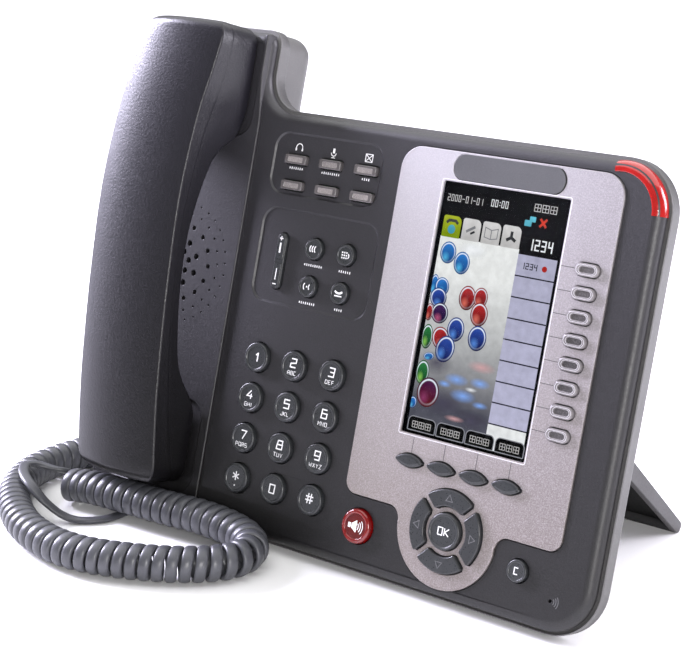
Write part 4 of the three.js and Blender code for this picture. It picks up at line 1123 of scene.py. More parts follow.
def bead_discs():
    """Elliptical beads on the picture, each with its own UVs from -1 to 1."""
    kinds = {
        "sky": bead("bead_sky", rgb(20, 70, 130), rgb(40, 120, 200), rgb(90, 200, 245)),
        "blue": bead("bead_blue", rgb(12, 16, 80), rgb(40, 72, 160), rgb(90, 150, 235)),
        "red": bead("bead_red", rgb(90, 8, 12), rgb(176, 38, 40), rgb(240, 120, 100)),
        "wine": bead("bead_wine", rgb(20, 12, 50), rgb(60, 24, 80), rgb(200, 90, 130)),
        "green": bead("bead_green", rgb(10, 60, 30), rgb(40, 120, 60), rgb(150, 220, 90)),
        "plum": bead("bead_plum", rgb(96, 14, 22), rgb(74, 22, 66), rgb(150, 60, 110)),
        "haze": blur("blur_blue", rgb(120, 160, 226)),
        "dusk": blur("blur_dusk", rgb(62, 58, 74)),
        "rose": blur("blur_rose", rgb(196, 150, 150)),
        "glow": blur("blur_white", rgb(236, 240, 246)),
    }
    names = list(kinds)
    points, faces, slots, uvs = [], [], [], []
    rings = (0.35, 0.7, 0.86, 1.0)
    sides = 28
    shapes = [(x, y, w, h, 0, k) for x, y, w, h, k in BLURS]
    shapes += [(x, y, w * 1.16, h * 1.1, turn, k) for x, y, w, h, turn, k in BEADS]
    for number, (x, y, width, height, turn, kind) in enumerate(shapes):
        z = LCD_FRONT + LAYER * (3 + 0.35 * number)
        c, s = math.cos(math.radians(turn)), math.sin(math.radians(turn))
        first = len(points)
        points.append((x, y, z))
        uvs.append((0, 0))
        for ring in rings:
            for i in range(sides):
                a = 2 * math.pi * i / sides
                u, v = ring * math.cos(a), ring * math.sin(a)
                px, py = u * width / 2, v * height / 2
                gx = min(max(x + px * c - py * s, PICTURE_LEFT), BEADS_RIGHT)
                points.append((gx, max(y + px * s + py * c, BEADS_BOTTOM), z))
                uvs.append((u, v))
        for i in range(sides):
            j = (i + 1) % sides
            faces.append((first, first + 1 + i, first + 1 + j))
            slots.append(names.index(kind))
            for r in range(len(rings) - 1):
                a = first + 1 + r * sides
                faces.append((a + i, a + sides + i, a + sides + j, a + j))
                slots.append(names.index(kind))
    mesh = bpy.data.meshes.new("lcd_beads")
    mesh.from_pydata(points, [], faces)
    mesh.polygons.foreach_set("material_index", slots)
    layer = mesh.uv_layers.new(name="bead")
    for loop in mesh.loops:
        layer.data[loop.index].uv = uvs[loop.vertex_index]
    mesh.transform(FACE)
    for name in names:
        mesh.materials.append(kinds[name])
    obj = new_object("lcd_beads", mesh)
    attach(obj, "body")


# ---- corner light --------------------------------------------------------------------------------
def corner_light():
    """A clear red band laid over the cover's rounded top right corner, with a groove along its middle."""
    cx, cy = BODY["right"] - BODY["corner"], BODY["top"] - BODY["corner"]
    flat = BODY["corner"] - COVER_INSET - BEVEL_SIZE
    over = 0.25
    section = [(flat, -0.4, 180), (flat, over - 0.12, 180), (flat + 0.1, over, 110)]
    for i in range(1, 11):
        a = math.radians(9 * i)
        lean = 90 - 9 * i
        dip = 0.45 if i == 4 else 0.0
        section.append((flat + (BEVEL_SIZE + over) * math.sin(a) - dip * math.sin(a),
                        -BEVEL_DEPTH + (BEVEL_DEPTH + over) * math.cos(a) - dip, lean))
    section.append((flat + BEVEL_SIZE + over, PARTING, 0))
    b = Build()
    start, end, steps = 2, 102, 36
    rings = []
    for k in range(steps + 1):
        t = math.radians(start + (end - start) * k / steps)
        c, s = math.cos(t), math.sin(t)
        facing = [math.radians(lean) for _, _, lean in section]
        rings.append(b.add_points([(cx + r * c, cy + r * s, z) for r, z, _ in section],
                                  [(c * math.cos(f), s * math.cos(f), math.sin(f)) for f in facing]))
    b.bridge(rings, len(section), closed=False)
    for t, way in ((start, -1), (end, 1)):
        c, s = math.cos(math.radians(t)), math.sin(math.radians(t))
        rings = []
        for thick in (0, 0.5):
            points = [(cx + (r - thick) * c, cy + (r - thick) * s, z - thick) for r, z, _ in section]
            rings.append(b.add_points(points, [(-s * way, c * way, 0)] * len(section)))
        b.bridge(rings, len(section), closed=False)
    b.make("corner_light_lens", [RED_LENS], "body", ["corner_light"], "corner_light")


# ---- keys ----------------------------------------------------------------------------------------
GLYPHS = {
    "1": [[(0.2, 0.75), (0.45, 1), (0.5, 1), (0.5, 0)]],
    "2": [[(0, 1), (0.75, 1), (0.75, 0.55), (0, 0.42), (0, 0), (0.8, 0)]],
    "3": [[(0, 1), (0.78, 1), (0.78, 0), (0, 0)], [(0.2, 0.5), (0.78, 0.5)]],
    "4": [[(0.62, 0), (0.62, 0.62)], [(0.55, 1), (0.0, 0.32), (0.85, 0.32)]],
    "5": [[(0.78, 1), (0, 1), (0, 0.55), (0.78, 0.55), (0.78, 0), (0, 0)]],
    "6": [[(0.7, 1), (0, 1), (0, 0), (0.78, 0), (0.78, 0.55), (0, 0.55)]],
    "7": [[(0, 1), (0.8, 1), (0.35, 0)]],
    "8": [[(0.05, 1), (0.75, 1), (0.75, 0.52), (0.05, 0.52), (0.05, 1)],
          [(0.05, 0.52), (0, 0.52), (0, 0), (0.8, 0), (0.8, 0.52), (0.75, 0.52)]],
    "9": [[(0.1, 0), (0.78, 0), (0.78, 1), (0, 1), (0, 0.45), (0.78, 0.45)]],
    "0": [[(0, 0), (0.75, 0), (0.75, 1), (0, 1), (0, 0)]],
    "star": [[(0.4, 0.1), (0.4, 1)], [(0, 0.32), (0.8, 0.78)], [(0, 0.78), (0.8, 0.32)]],
    "hash": [[(0.25, 0), (0.35, 1)], [(0.6, 0), (0.7, 1)], [(0, 0.33), (0.92, 0.33)],
             [(0.03, 0.68), (0.95, 0.68)]],
    "O": [[(0, 0), (0.7, 0), (0.7, 1), (0, 1), (0, 0)]],
    "K": [[(0, 0), (0, 1)], [(0.7, 1), (0.08, 0.5), (0.7, 0)]],
    "C": [[(0.65, 1), (0, 1), (0, 0), (0.65, 0)]],
    "A": [[(0, 0), (0, 0.7), (0.25, 1), (0.5, 1), (0.7, 0.7), (0.7, 0)], [(0, 0.42), (0.7, 0.42)]],
    "B": [[(0, 0), (0, 1), (0.6, 1), (0.6, 0.5), (0, 0.5)], [(0.6, 0.5), (0.7, 0.5), (0.7, 0), (0, 0)]],
    "D": [[(0, 0), (0, 1), (0.5, 1), (0.7, 0.8), (0.7, 0.2), (0.5, 0), (0, 0)]],
    "E": [[(0.65, 1), (0, 1), (0, 0), (0.65, 0)], [(0, 0.5), (0.55, 0.5)]],
    "F": [[(0.65, 1), (0, 1), (0, 0)], [(0, 0.5), (0.55, 0.5)]],
    "G": [[(0.68, 1), (0, 1), (0, 0), (0.68, 0), (0.68, 0.5), (0.38, 0.5)]],
    "H": [[(0, 0), (0, 1)], [(0.7, 0), (0.7, 1)], [(0, 0.5), (0.7, 0.5)]],
    "I": [[(0.15, 0), (0.15, 1)]],
    "J": [[(0.6, 1), (0.6, 0), (0, 0), (0, 0.3)]],
    "L": [[(0, 1), (0, 0), (0.62, 0)]],
    "M": [[(0, 0), (0, 1), (0.4, 0.45), (0.8, 1), (0.8, 0)]],
    "N": [[(0, 0), (0, 1), (0.7, 0), (0.7, 1)]],
    "P": [[(0, 0), (0, 1), (0.68, 1), (0.68, 0.45), (0, 0.45)]],
    "Q": [[(0, 0), (0.7, 0), (0.7, 1), (0, 1), (0, 0)], [(0.45, 0.3), (0.85, -0.1)]],
    "R": [[(0, 0), (0, 1), (0.68, 1), (0.68, 0.5), (0, 0.5)], [(0.35, 0.5), (0.7, 0)]],
    "S": [[(0.68, 1), (0, 1), (0, 0.5), (0.68, 0.5), (0.68, 0), (0, 0)]],
    "T": [[(0, 1), (0.8, 1)], [(0.4, 1), (0.4, 0)]],
    "U": [[(0, 1), (0, 0), (0.7, 0), (0.7, 1)]],
    "V": [[(0, 1), (0.38, 0), (0.76, 1)]],
    "W": [[(0, 1), (0.15, 0), (0.45, 0.6), (0.75, 0), (0.9, 1)]],
    "X": [[(0, 0), (0.7, 1)], [(0, 1), (0.7, 0)]],
    "Y": [[(0, 1), (0.36, 0.5), (0.72, 1)], [(0.36, 0.5), (0.36, 0)]],
    "Z": [[(0, 1), (0.7, 1), (0, 0), (0.7, 0)]],
}
WIDTHS = {"1": 0.55, "star": 0.8, "hash": 0.95, "I": 0.3, "M": 0.8, "W": 0.9, "4": 0.85, "J": 0.6, "T": 0.8}
LETTERS = {"2": "ABC", "3": "DEF", "4": "GHI", "5": "JKL", "6": "MNO", "7": "PQRS", "8": "TUV", "9": "WXYZ"}


MARK_HEIGHT = 0.04


def write(b, symbols, x, y, height, stroke, z, slot, gap=0.28, slant=0.0):
    """Strokes of the given symbols, centred on a point."""
    widths = [WIDTHS.get(s, 0.72) for s in symbols]
    total = sum(widths) * height + gap * height * (len(symbols) - 1)
    pen = x - total / 2
    for symbol, width in zip(symbols, widths):
        for path in GLYPHS[symbol]:
            points = [(pen + (px + py * slant) * height, y + (py - 0.5) * height) for px, py in path]
            b.thicken(points, stroke, z, MARK_HEIGHT, slot)
        pen += (width + gap) * height


def add_key(name, outline, back, front, edge, marks, **look):
    """A black key with a flange at its foot and white marks on its dished front."""
    foot, flange = back - 0.6, 0.9
    b = Build()
    b.run(outline, [(flange, foot, 90), (0, foot, 90)])
    b.key(outline, foot, front, edge, **look)
    marks(b, front - look["dish"])
    b.make(f"{name}_cap", [KEY, WHITE_INK, GREY_INK], name, [name], "key_black")


def strokes(b, x, y, z, slot, *paths, height=MARK_HEIGHT):
    """Raised lines round a point, each a width and its path."""
    for width, path in paths:
        b.thicken([(x + px, y + py) for px, py in path], width, z, height, slot)


def digit_marks(name):
    x, y = PAD[name]

    def draw(b, z):
        letters = LETTERS.get(name)
        if letters:
            write(b, [name], x, y + 1.3, 3.4, 0.5, z, 1, slant=0.08)
            write(b, list(letters), x, y - 2.75, 1.5, 0.2, z, 1, 0.36)
        elif name in ("star", "hash"):
            write(b, [name], x, y + 0.7, 4.0, 0.5, z, 1)
            if name == "star":
                b.cap(circle(x, y - 3, 0.36, 12), z + 0.04, slot=1)
        else:
            write(b, [name], x, y, 3.4, 0.52, z, 1, slant=0.04)
        if name == "5":
            for way in (-1, 1):
                b.run(circle(x + 3.6 * way, y + 0.2, 0.32, 12), round_edge(0, z + 0.22, 0.22, steps=2))
                b.cap(circle(x + 3.6 * way, y + 0.2, 0.12, 12), z + 0.22)
    return draw


def digit_keys():
    for name in DIGITS:
        outline = circle(*PAD[name], PAD_RADIUS, 48)
        add_key(f"key_{name}", outline, PAD_BACK, PAD_FRONT, 0.75, digit_marks(name), dish=0.32, rim=0.2)


def arc_path(x, y, radius, start, end, steps=14):
    return [around(x, y, radius, start + (end - start) * i / steps) for i in range(steps + 1)]


def level(left, right, y):
    return [(left, y), (right, y)]


# each call key's mark: three waves, a dialling pad, a wave between two, and a receiver on its rest
DOTS = [(-1.3 + 1.05 * i, -1.1 + 1.05 * k) for i in range(3) for k in range(3)]
CALL_MARKS = {
    "conference": [(0.42, arc_path(1.15 * i - 0.15, 0, 1.6, 130, 230)) for i in range(3)],
    "redial": [*((0.6, level(x - 0.3, x + 0.3, y)) for x, y in DOTS),
               (0.4, arc_path(1.0, -0.2, 1.0, -60, 60, 8))],
    "transfer": [(0.42, arc_path(-0.2, 0, 1.6, 130, 230)), (0.42, arc_path(2.4, 0, 1.6, 140, 220)),
                 (0.6, level(-0.4, 0.2, 0))],
    "hold": [(0.75, arc_path(0, 2.6, 2.6, 225, 315)), (0.5, level(-1.8, 1.8, -1.1))],
}


def call_keys():
    for name, (x, y) in CALL_KEYS.items():
        def draw(b, z):
            strokes(b, x, y, z, 1, *CALL_MARKS[name])
        add_key(f"{name}_key", circle(x, y, CALL_RADIUS, 40), PAD_BACK, 1.3, 0.6, draw, dish=0.22, rim=0.12)


def menu_keys():
    for i, (x, y) in enumerate(MENU_KEYS):
        b = Build()
        outline = centred(x, y, 11, 3.8, 1)
        inner = centred(x, y - 0.1, 7.4, 2.1, 0.4)
        b.run(outline, [(0, -3.2, 0), *round_edge(0, 1.2, 0.5)])
        b.run(inner, [(0.25, 1.2, 90), (0, 0.95, 45)], inside=True)
        b.cap(shift(outline, -0.5), 1.2, [shift(inner, 0.25)])
        b.cap(inner, 0.95, slot=1)
        name = f"menu_key_{i + 1}"
        b.make(f"{name}_cap", [SMOKE, SMOKE_INNER], name, [name], "menu_key")


def line_keys():
    for i, y in enumerate(LINE_YS):
        b = Build()
        outline = pill(LINE_X, y, LINE_WIDTH, LINE_HEIGHT)
        inner = pill(LINE_X, y, 6.2, 2)
        b.run(outline, [(0, -1.6, 0), *round_edge(0, 1.9, 0.55), (-0.8, 1.9, 90), (-1.05, 1.72, 90),
                        (-1.2, 1.72, 90)])
        b.run(inner, [(0.2, 1.72, 90), (0, 1.2, 10)], inside=True)
        b.cap(shift(outline, -1.2), 1.72, [shift(inner, 0.2)])
        b.cap(inner, 1.2, slot=1)
        # pale lines along the rim and round the window: painted highlight
        for shape, z in ((shift(outline, -0.62), 1.9), (shift(inner, 0.34), 1.72)):
            b.thicken([(px, py) for px, py, _, _ in shape], 0.12, z, 0.02, 2, closed=True)
        name = f"line_key_{i + 1}"
        b.make(f"{name}_cap", [CLEAR_KEY, LINE_WINDOW, PAINTED_HIGHLIGHT], name, [name], "line_key")


def soft_keys():
    for i, x in enumerate(SOFT_XS):
        b = Build()
        outline = almond(x, SOFT_Y, SOFT_WIDTH, SOFT_HEIGHT)
        b.run(outline, [(0, -1.6, 0), *round_edge(0, 2.0, 0.5)])
        b.run(outline, [(-0.5, 2.0, 90), (-0.62, 1.9, 60), (-0.75, 1.95, 80), (-1.0, 2.12, 75),
                        (-1.2, 2.18, 90)])
        b.cap(shift(outline, -1.2), 2.18)
        name = f"soft_key_{i + 1}"
        b.make(f"{name}_cap", [KEY], name, [name], "key_black")


def nav_keys():
    for i, label in enumerate(("right", "up", "left", "down")):
        b = Build()
        outline = quadrant(90 * i)
        front = 2.1
        b.run(outline, [(0, -1.6, 0), *round_edge(0, front, 0.6)])
        b.cap(shift(outline, -0.6), front)
        middle = (NAV_OUTER + NAV_INNER) / 2
        a = math.radians(90 * i)
        c, s = math.cos(a), math.sin(a)
        arrow = [(NAV_X + px * c - py * s, NAV_Y + px * s + py * c)
                 for px, py in ((middle + 1.35, 0), (middle - 1.1, -1.5), (middle - 1.1, 1.5))]
        b.thicken(arrow, 0.26, front, 0.03, 1, closed=True)
        b.make(f"nav_key_{label}_cap", [KEY, GREY_INK], f"nav_key_{label}", [f"nav_key_{label}"], "key_black")


def lettered_keys():
    """The middle key of the navigation ring and the clear key."""

    def ok(b, z):
        write(b, ["O", "K"], NAV_X, NAV_Y, 2.8, 0.38, z, 1, 0.3)
    add_key("ok_key", circle(NAV_X, NAV_Y, OK_RADIUS, 48), -1.3, 2.6, 0.7, ok, dish=0.3, rim=0.15)

    def clear(b, z):
        write(b, ["C"], CLEAR_X, CLEAR_Y, 2.4, 0.34, z, 1)
    outline = circle(CLEAR_X, CLEAR_Y, CLEAR_RADIUS, 40)
    add_key("clear_key", outline, PAD_BACK, 1.6, 0.6, clear, dish=0.25, rim=0.12)


def volume_rocker():
    b = Build()
    outline = pill(VOLUME_X, VOLUME_Y, VOLUME_WIDTH, VOLUME_LENGTH)
    front = 1.2
    b.run(outline, [(0, -3.6, 0), *round_edge(0, front - 0.45, 0.4)])
    b.cap(shift(outline, -0.4), front - 0.45)
    half, groove, tip, square = VOLUME_LENGTH / 2, 0.7, 1.9, 0.5
    for way in (-1, 1):
        low, high = sorted((VOLUME_Y + way * groove, VOLUME_Y + way * (half - 0.35)))
        below, above = (tip, square) if way < 0 else (square, tip)
        shape = rounded([(VOLUME_X + 2, low, below), (VOLUME_X + 2, high, above),
                         (VOLUME_X - 2, high, above), (VOLUME_X - 2, low, below)])
        b.key(shape, front - 0.5, front, 0.4)
    strokes(b, VOLUME_X, VOLUME_Y, front, 1, (0.4, level(-0.9, 0.9, 9.2)), (0.4, [(0, 8.3), (0, 10.1)]),
            (0.75, [(0, 3.4), (0, 7.4)]), (0.42, [(0, -3.0), (0, -7.6)]), (0.4, level(-0.9, 0.9, -9.3)),
            height=0.03)
    b.make("volume_rocker_cap", [KEY, WHITE_INK], "volume_rocker", ["volume_rocker"], "key_black")


def speaker_key():
    b = Build()
    x, y, r = SPEAKER_X, SPEAKER_Y, SPEAKER_RADIUS
    outline = circle(x, y, r, 56)
    b.run(outline, [(0, -3.2, 0), *round_edge(0, 2.4, 1.1, steps=7), (-1.45, 2.38, 100), (-1.7, 2.05, 150),
                    (-1.85, 1.9, 90)])
    b.cap(shift(outline, -1.85), 1.9, slot=1)
    z = 1.92
    horn = [(-1.9, -0.9, 0.1), (0.5, -2.5, 0.2), (0.5, 2.5, 0.2), (-1.9, 0.9, 0.1)]
    b.cap(rounded([(x + px, y + py, radius) for px, py, radius in horn]), z, slot=2)
    b.cap(centred(x - 2.9, y, 1.3, 1.9, 0.15), z, slot=2)
    for radius in (2.0, 3.0, 4.0):
        b.thicken(arc_path(x - 0.6, y, radius, -38, 38, 10), 0.34, z, 0.03, 2)
    b.make("speaker_key_cap", [RED_RING, RED_DARK, WHITE_INK], "speaker_key", ["speaker_key"], "speaker_key")


def face_marks():
    """Small printed signs on the two panels and beside the microphone."""
    b = Build()
    z = -PANEL_DEPTH
    headset, microphone, letter = (x for x, _ in MENU_KEYS[:3])
    y = MENU_KEYS[0][1] + 4.9
    strokes(b, headset, y, z, 0, (0.34, arc_path(0, 0, 1.6, -40, 220)), (0.7, [(-1.6, -1.3), (-1.6, -0.2)]),
            (0.7, [(1.6, -1.3), (1.6, -0.2)]))
    strokes(b, microphone, y, z, 0, (1.0, [(0, -0.2), (0, 1.7)]), (0.3, arc_path(0, -0.1, 1.2, 180, 360)),
            (0.3, [(0, -1.3), (0, -2.0)]), (0.3, level(-0.9, 0.9, -2.0)))
    frame_line = [(letter + px, y + py) for px, py in ((-1.7, -1.5), (1.7, -1.5), (1.7, 1.5), (-1.7, 1.5))]
    b.thicken(frame_line, 0.3, z, MARK_HEIGHT, 0, closed=True)
    strokes(b, letter, y, z, 0, (0.28, [(-1.5, 1.3), (1.5, -1.3)]), (0.28, [(-1.5, -1.3), (1.5, 1.3)]))
    for (x, y), count in zip(MENU_KEYS, (7, 9, 4)):
        caption_bars(b, x, y - 3.5, count, z)
    for (x, y), count in zip(CALL_KEYS.values(), (9, 6, 8, 4)):
        caption_bars(b, x, y - 6.6, count, z)
    for radius in (1.6, 2.5, 3.4):
        b.thicken(arc_path(MIC_X, MIC_Y, radius, -38, 38, 10), 0.26, 0, 0.03, 1)
    b.make("printed_marks", [WHITE_INK, GREY_INK], "body", (), "front_cover")


def caption_bars(b, x, y, count, z):
    """A row of short upright ticks in place of a caption."""
    pitch = 1.05
    for i in range(count):
        px = x + (i - (count - 1) / 2) * pitch
        b.thicken([(px - 0.22, y), (px + 0.22, y)], 1.0 if i % 2 else 0.8, z, 0.03, 0)


# ---- handset -------------------------------------------------------------------------------------
HANDSET = {"middle": -152, "half": 22, "flare": 0.8, "top": 97, "bottom": -93.5, "crown": 4, "end_radius": 8,
           "drop_radius": 4}
FRONT_LINE = [(97, 22), (77, 26), (57, 30.3), (25, 33), (-11, 31.6), (-45, 28.5), (-66, 25.6), (-93.5, 20.5)]
SEAM_LINE = [(97, 15.5), (76, 17.8), (47, 25), (18, 28.4), (-2, 27.9), (-29, 25), (-56, 19.4), (-75, 14.3),
             (-93.5, 8)]
INNER_LINE = [(97, 0), (66, 0), (58, 1.4), (52, 4.5), (47, 11), (41, 15.6), (28, 19.8), (10, 22.8),
              (-10, 22.2), (-29, 19.3), (-42, 16), (-50, 11.2), (-56, 5.8), (-62, 2), (-70, 1), (-93.5, 1)]
EAR_CENTRE, MOUTH_HOLES = (-152, 80), ((-156, -76), (-148, -76))


def fine_line(points):
    """A smooth line through (y, z) points, ready to be read at any y."""
    line = catmull([Vector((y, z)) for y, z in points], 0.5)
    return [(p.x, p.y) for p in line]


def height_at(line, y):
    for (y0, z0), (y1, z1) in zip(line, line[1:]):
        if y1 <= y <= y0:
            return z0 + (z1 - z0) * (y0 - y) / max(y0 - y1, 1e-9)
    return line[0][1] if y > line[0][0] else line[-1][1]


FRONT, SEAM, INNER = fine_line(FRONT_LINE), fine_line(SEAM_LINE), fine_line(INNER_LINE)


def handset_stations():
    """Heights along the handset, close together at the rounded ends."""
    ends = [HANDSET["end_radius"] * (1 - math.cos(math.pi / 2 * i / 9)) for i in range(9)]
    top = [HANDSET["top"] - e for e in ends]
    bottom = [HANDSET["bottom"] + e for e in reversed(ends)]
    middle = [88.0 - 1.5 * i for i in range(1, 116)]
    return top + [y for y in middle if top[-1] - 0.8 > y > bottom[0] + 0.8] + bottom


def narrowing(y):
    """How far the sides draw in towards the rounded ends, and how far the front drops there."""
    radius, drop = HANDSET["end_radius"], HANDSET["drop_radius"]
    near = min(HANDSET["top"] - y, y - HANDSET["bottom"])
    pull = radius - math.sqrt(max(0.0, radius ** 2 - (radius - near) ** 2)) if near < radius else 0.0
    fall = drop - math.sqrt(max(0.0, drop ** 2 - (drop - near) ** 2)) if near < drop else 0.0
    return pull, fall


def handset_loft(b, section, stations):
    """Sections side by side; each is a list of (x, z, nx, nz)."""
    rings = []
    for y in stations:
        chain = section(y)
        rings.append((b.add_points([(HANDSET["middle"] + x, y, z) for x, z, _, _ in chain],
                                   [(nx, 0, nz) for _, _, nx, nz in chain]), len(chain)))
    b.bridge([start for start, _ in rings], rings[0][1], closed=False)
    return rings


CROWN_STEPS = 20


def outer_section(y):
    pull, fall = narrowing(y)
    front, seam = height_at(FRONT, y), height_at(SEAM, y)
    half = HANDSET["half"] - pull
    wide = half + HANDSET["flare"]
    right = [(wide - 0.5, seam + 0.15, 0.3, -1), (wide, seam + 0.5, 1, -0.1)]
    low, high = seam + 0.5, front - 1.2 - fall
    for t in (0.25, 0.5, 0.75, 1):
        right.append((wide - 0.6 * t, low + (high - low) * t, 1, 0.12))
    # the crisp crease between the side band and the crowned front
    shoulder = half + 0.2
    right += [(shoulder - 0.08, high + 0.3, 1, 0.55), (shoulder - 0.35, high + 0.6, 0.75, 0.75),
              (shoulder - 0.8, high + 0.8, 0.3, 1)]
    rise = HANDSET["crown"] - 1
    for i in range(CROWN_STEPS + 1):
        x = (shoulder - 1.2) * (1 - i / CROWN_STEPS)
        across = x / (half - 0.8)
        z = front - fall + rise * (1 - across ** 2) * min(1, half / 20) - 0.35 * abs(across) ** 6
        right.append((x, z, 2 * rise * across / (half - 0.8), 1))
    left = [(-x, z, -nx, nz) for x, z, nx, nz in reversed(right[:-1])]
    return right + left


def inner_section(y):
    seam, inner = height_at(SEAM, y), height_at(INNER, y)
    half = HANDSET["half"] - narrowing(y)[0]
    right = [(half - 0.5, seam - 0.15, 0.3, 1), (half - 0.02, seam - 0.55, 1, 0.1)]
    low = inner + 1.8
    for i in range(1, 4):
        right.append((half, seam - 0.55 + (low - seam + 0.55) * i / 3, 1, 0))
    for i in range(1, 6):
        a = math.pi / 2 * i / 5
        right.append((half - 1.8 * (1 - math.cos(a)), low - 1.8 * math.sin(a), math.cos(a), -math.sin(a)))
    for i in range(1, 7):
        right.append(((half - 1.8) * (1 - i / 6), inner, 0, -1))
    left = [(-x, z, -nx, nz) for x, z, nx, nz in reversed(right[:-1])]
    return right + left


def end_cap(b, ring, way):
    """Closes the flat end of a section with faces that look along the handset."""
    start, count = ring
    points = [b.points[start + k].copy() for k in range(count)]
    first = b.add_points(points, [(0, way, 0)] * count)
    half = count // 2
    for k in range(half):
        b.add_face((first + k, first + k + 1, first + count - 2 - k, first + count - 1 - k))


def smooth_ends(b, rings, stations):
    """Turns the normals near the ends along the handset so the corners read as rounded."""
    radius, drop = HANDSET["end_radius"], HANDSET["drop_radius"]
    for (start, count), y in zip(rings, stations):
        near_top, near_bottom = HANDSET["top"] - y, y - HANDSET["bottom"]
        near = min(near_top, near_bottom)
        if near >= radius:
            continue
        way = 1 if near_top < near_bottom else -1
        turn = math.asin(max(0.0, min(1.0, (radius - near) / radius)))
        fall = math.asin(max(0.0, min(1.0, (drop - near) / drop)))
        for k in range(count):
            n = b.normals[start + k]
            side = abs(n.x)
            lean = way * (math.sin(turn) * side + (math.sin(fall) * (1 - side) if n.z > 0 else 0))
            b.normals[start + k] = Vector((n.x * math.cos(turn), lean, n.z * math.cos(fall))).normalized()


def handset():
    stations = handset_stations()
    outer, inner = Build(), Build()
    for b, section, offset, up in ((outer, outer_section, 0.15, -1), (inner, inner_section, -0.15, 1)):
        rings = handset_loft(b, section, stations)
        end_cap(b, rings[0], 1)
        end_cap(b, rings[-1], -1)
        smooth_ends(b, rings, stations)
        underside(b, stations, offset, up)
    outer.make("handset_outer_cover", [CHARCOAL_HANDSET], "handset", ["handset_outer_shell"], "handset")
    ear = [circle(*EAR_CENTRE, 0.9, 14)]
    ear += [circle(*around(*EAR_CENTRE, 6, 60 * i), 1.1, 14) for i in range(6)]
    # the floors of the ear and mouth holes are painted shade
    for hole in ear + [circle(x, y, 1.0, 14) for x, y in MOUTH_HOLES]:
        y = hole[0][1]
        inner.cap(hole, height_at(INNER, y) - 0.03, up=-1, slot=1)
    inner.make("handset_inner_cover", [CHARCOAL_HANDSET, PAINTED_SHADE_BLACK], "handset", ["handset_inner_shell"],
               "handset")


def underside(b, stations, offset, up):
    """The hidden faces on each side of the seam, so neither half is open."""
    rows = []
    for y in stations:
        half = HANDSET["half"] - narrowing(y)[0] + (HANDSET["flare"] if up < 0 else 0) - 0.5
        z = height_at(SEAM, y) + offset
        ends = [(HANDSET["middle"] + side * half, y, z) for side in (-1, 1)]
        rows.append(b.add_points(ends, [(0, 0, up)] * 2))
    b.bridge(rows, 2, closed=False)


# ---- stand ---------------------------------------------------------------------------------------
STAND = {"right": 37.5, "left": -157.5, "angle": 64, "length": 96.77, "depth": 8, "sheet": 2.4, "foot": 2.6,
         "wall": 3, "barrel": 3.6}
LEG = (Matrix.Translation((0, HINGE_Y, HINGE_Z))
       @ Matrix.Rotation(math.radians(180 - (90 - STAND["angle"])), 4, "X"))


RIBS, RIB_WIDTH = 5, 1.4


def leg_side(step=14):
    """The side plate's outline in (along, across): round about the hinge, tapering to the round foot."""
    high, low = STAND["depth"] / 2, STAND["foot"]
    out = []
    for i in range(step + 1):
        a = math.radians(90 + 180 * i / step)
        out.append((high * math.cos(a), high * math.sin(a), math.cos(a), math.sin(a)))
    for i in range(step + 1):
        a = math.radians(-90 + 180 * i / step)
        out.append((STAND["length"] - low + low * math.cos(a), low * math.sin(a), math.cos(a), math.sin(a)))
    return out


def stand_point(x, along, across):
    return LEG @ Vector((x, across, along))


def stand_normal(x, along, across):
    return LEG.to_3x3() @ Vector((x, across, along))


def plate(b, left, right, outline, edge=0.5, slot=0):
    """A plate between two x positions with a rounded edge all round."""
    profile = [(left, -edge, -1.0), (left + edge * 0.3, -edge * 0.3, -0.7), (left + edge, 0, 0),
               (right - edge, 0, 0), (right - edge * 0.3, -edge * 0.3, 0.7), (right, -edge, 1.0)]
    starts = []
    for x, out, lean in profile:
        flat = math.sqrt(max(0, 1 - lean ** 2))
        starts.append(b.add_points([stand_point(x, s + ns * out, t + nt * out) for s, t, ns, nt in outline],
                                   [stand_normal(lean, ns * flat, nt * flat) for s, t, ns, nt in outline]))
    b.bridge(starts, len(outline), slot)
    for x, way in ((left, -1), (right, 1)):
        b.flat([stand_point(x, s - ns * edge, t - nt * edge) for s, t, ns, nt in outline],
               stand_normal(way, 0, 0), slot)


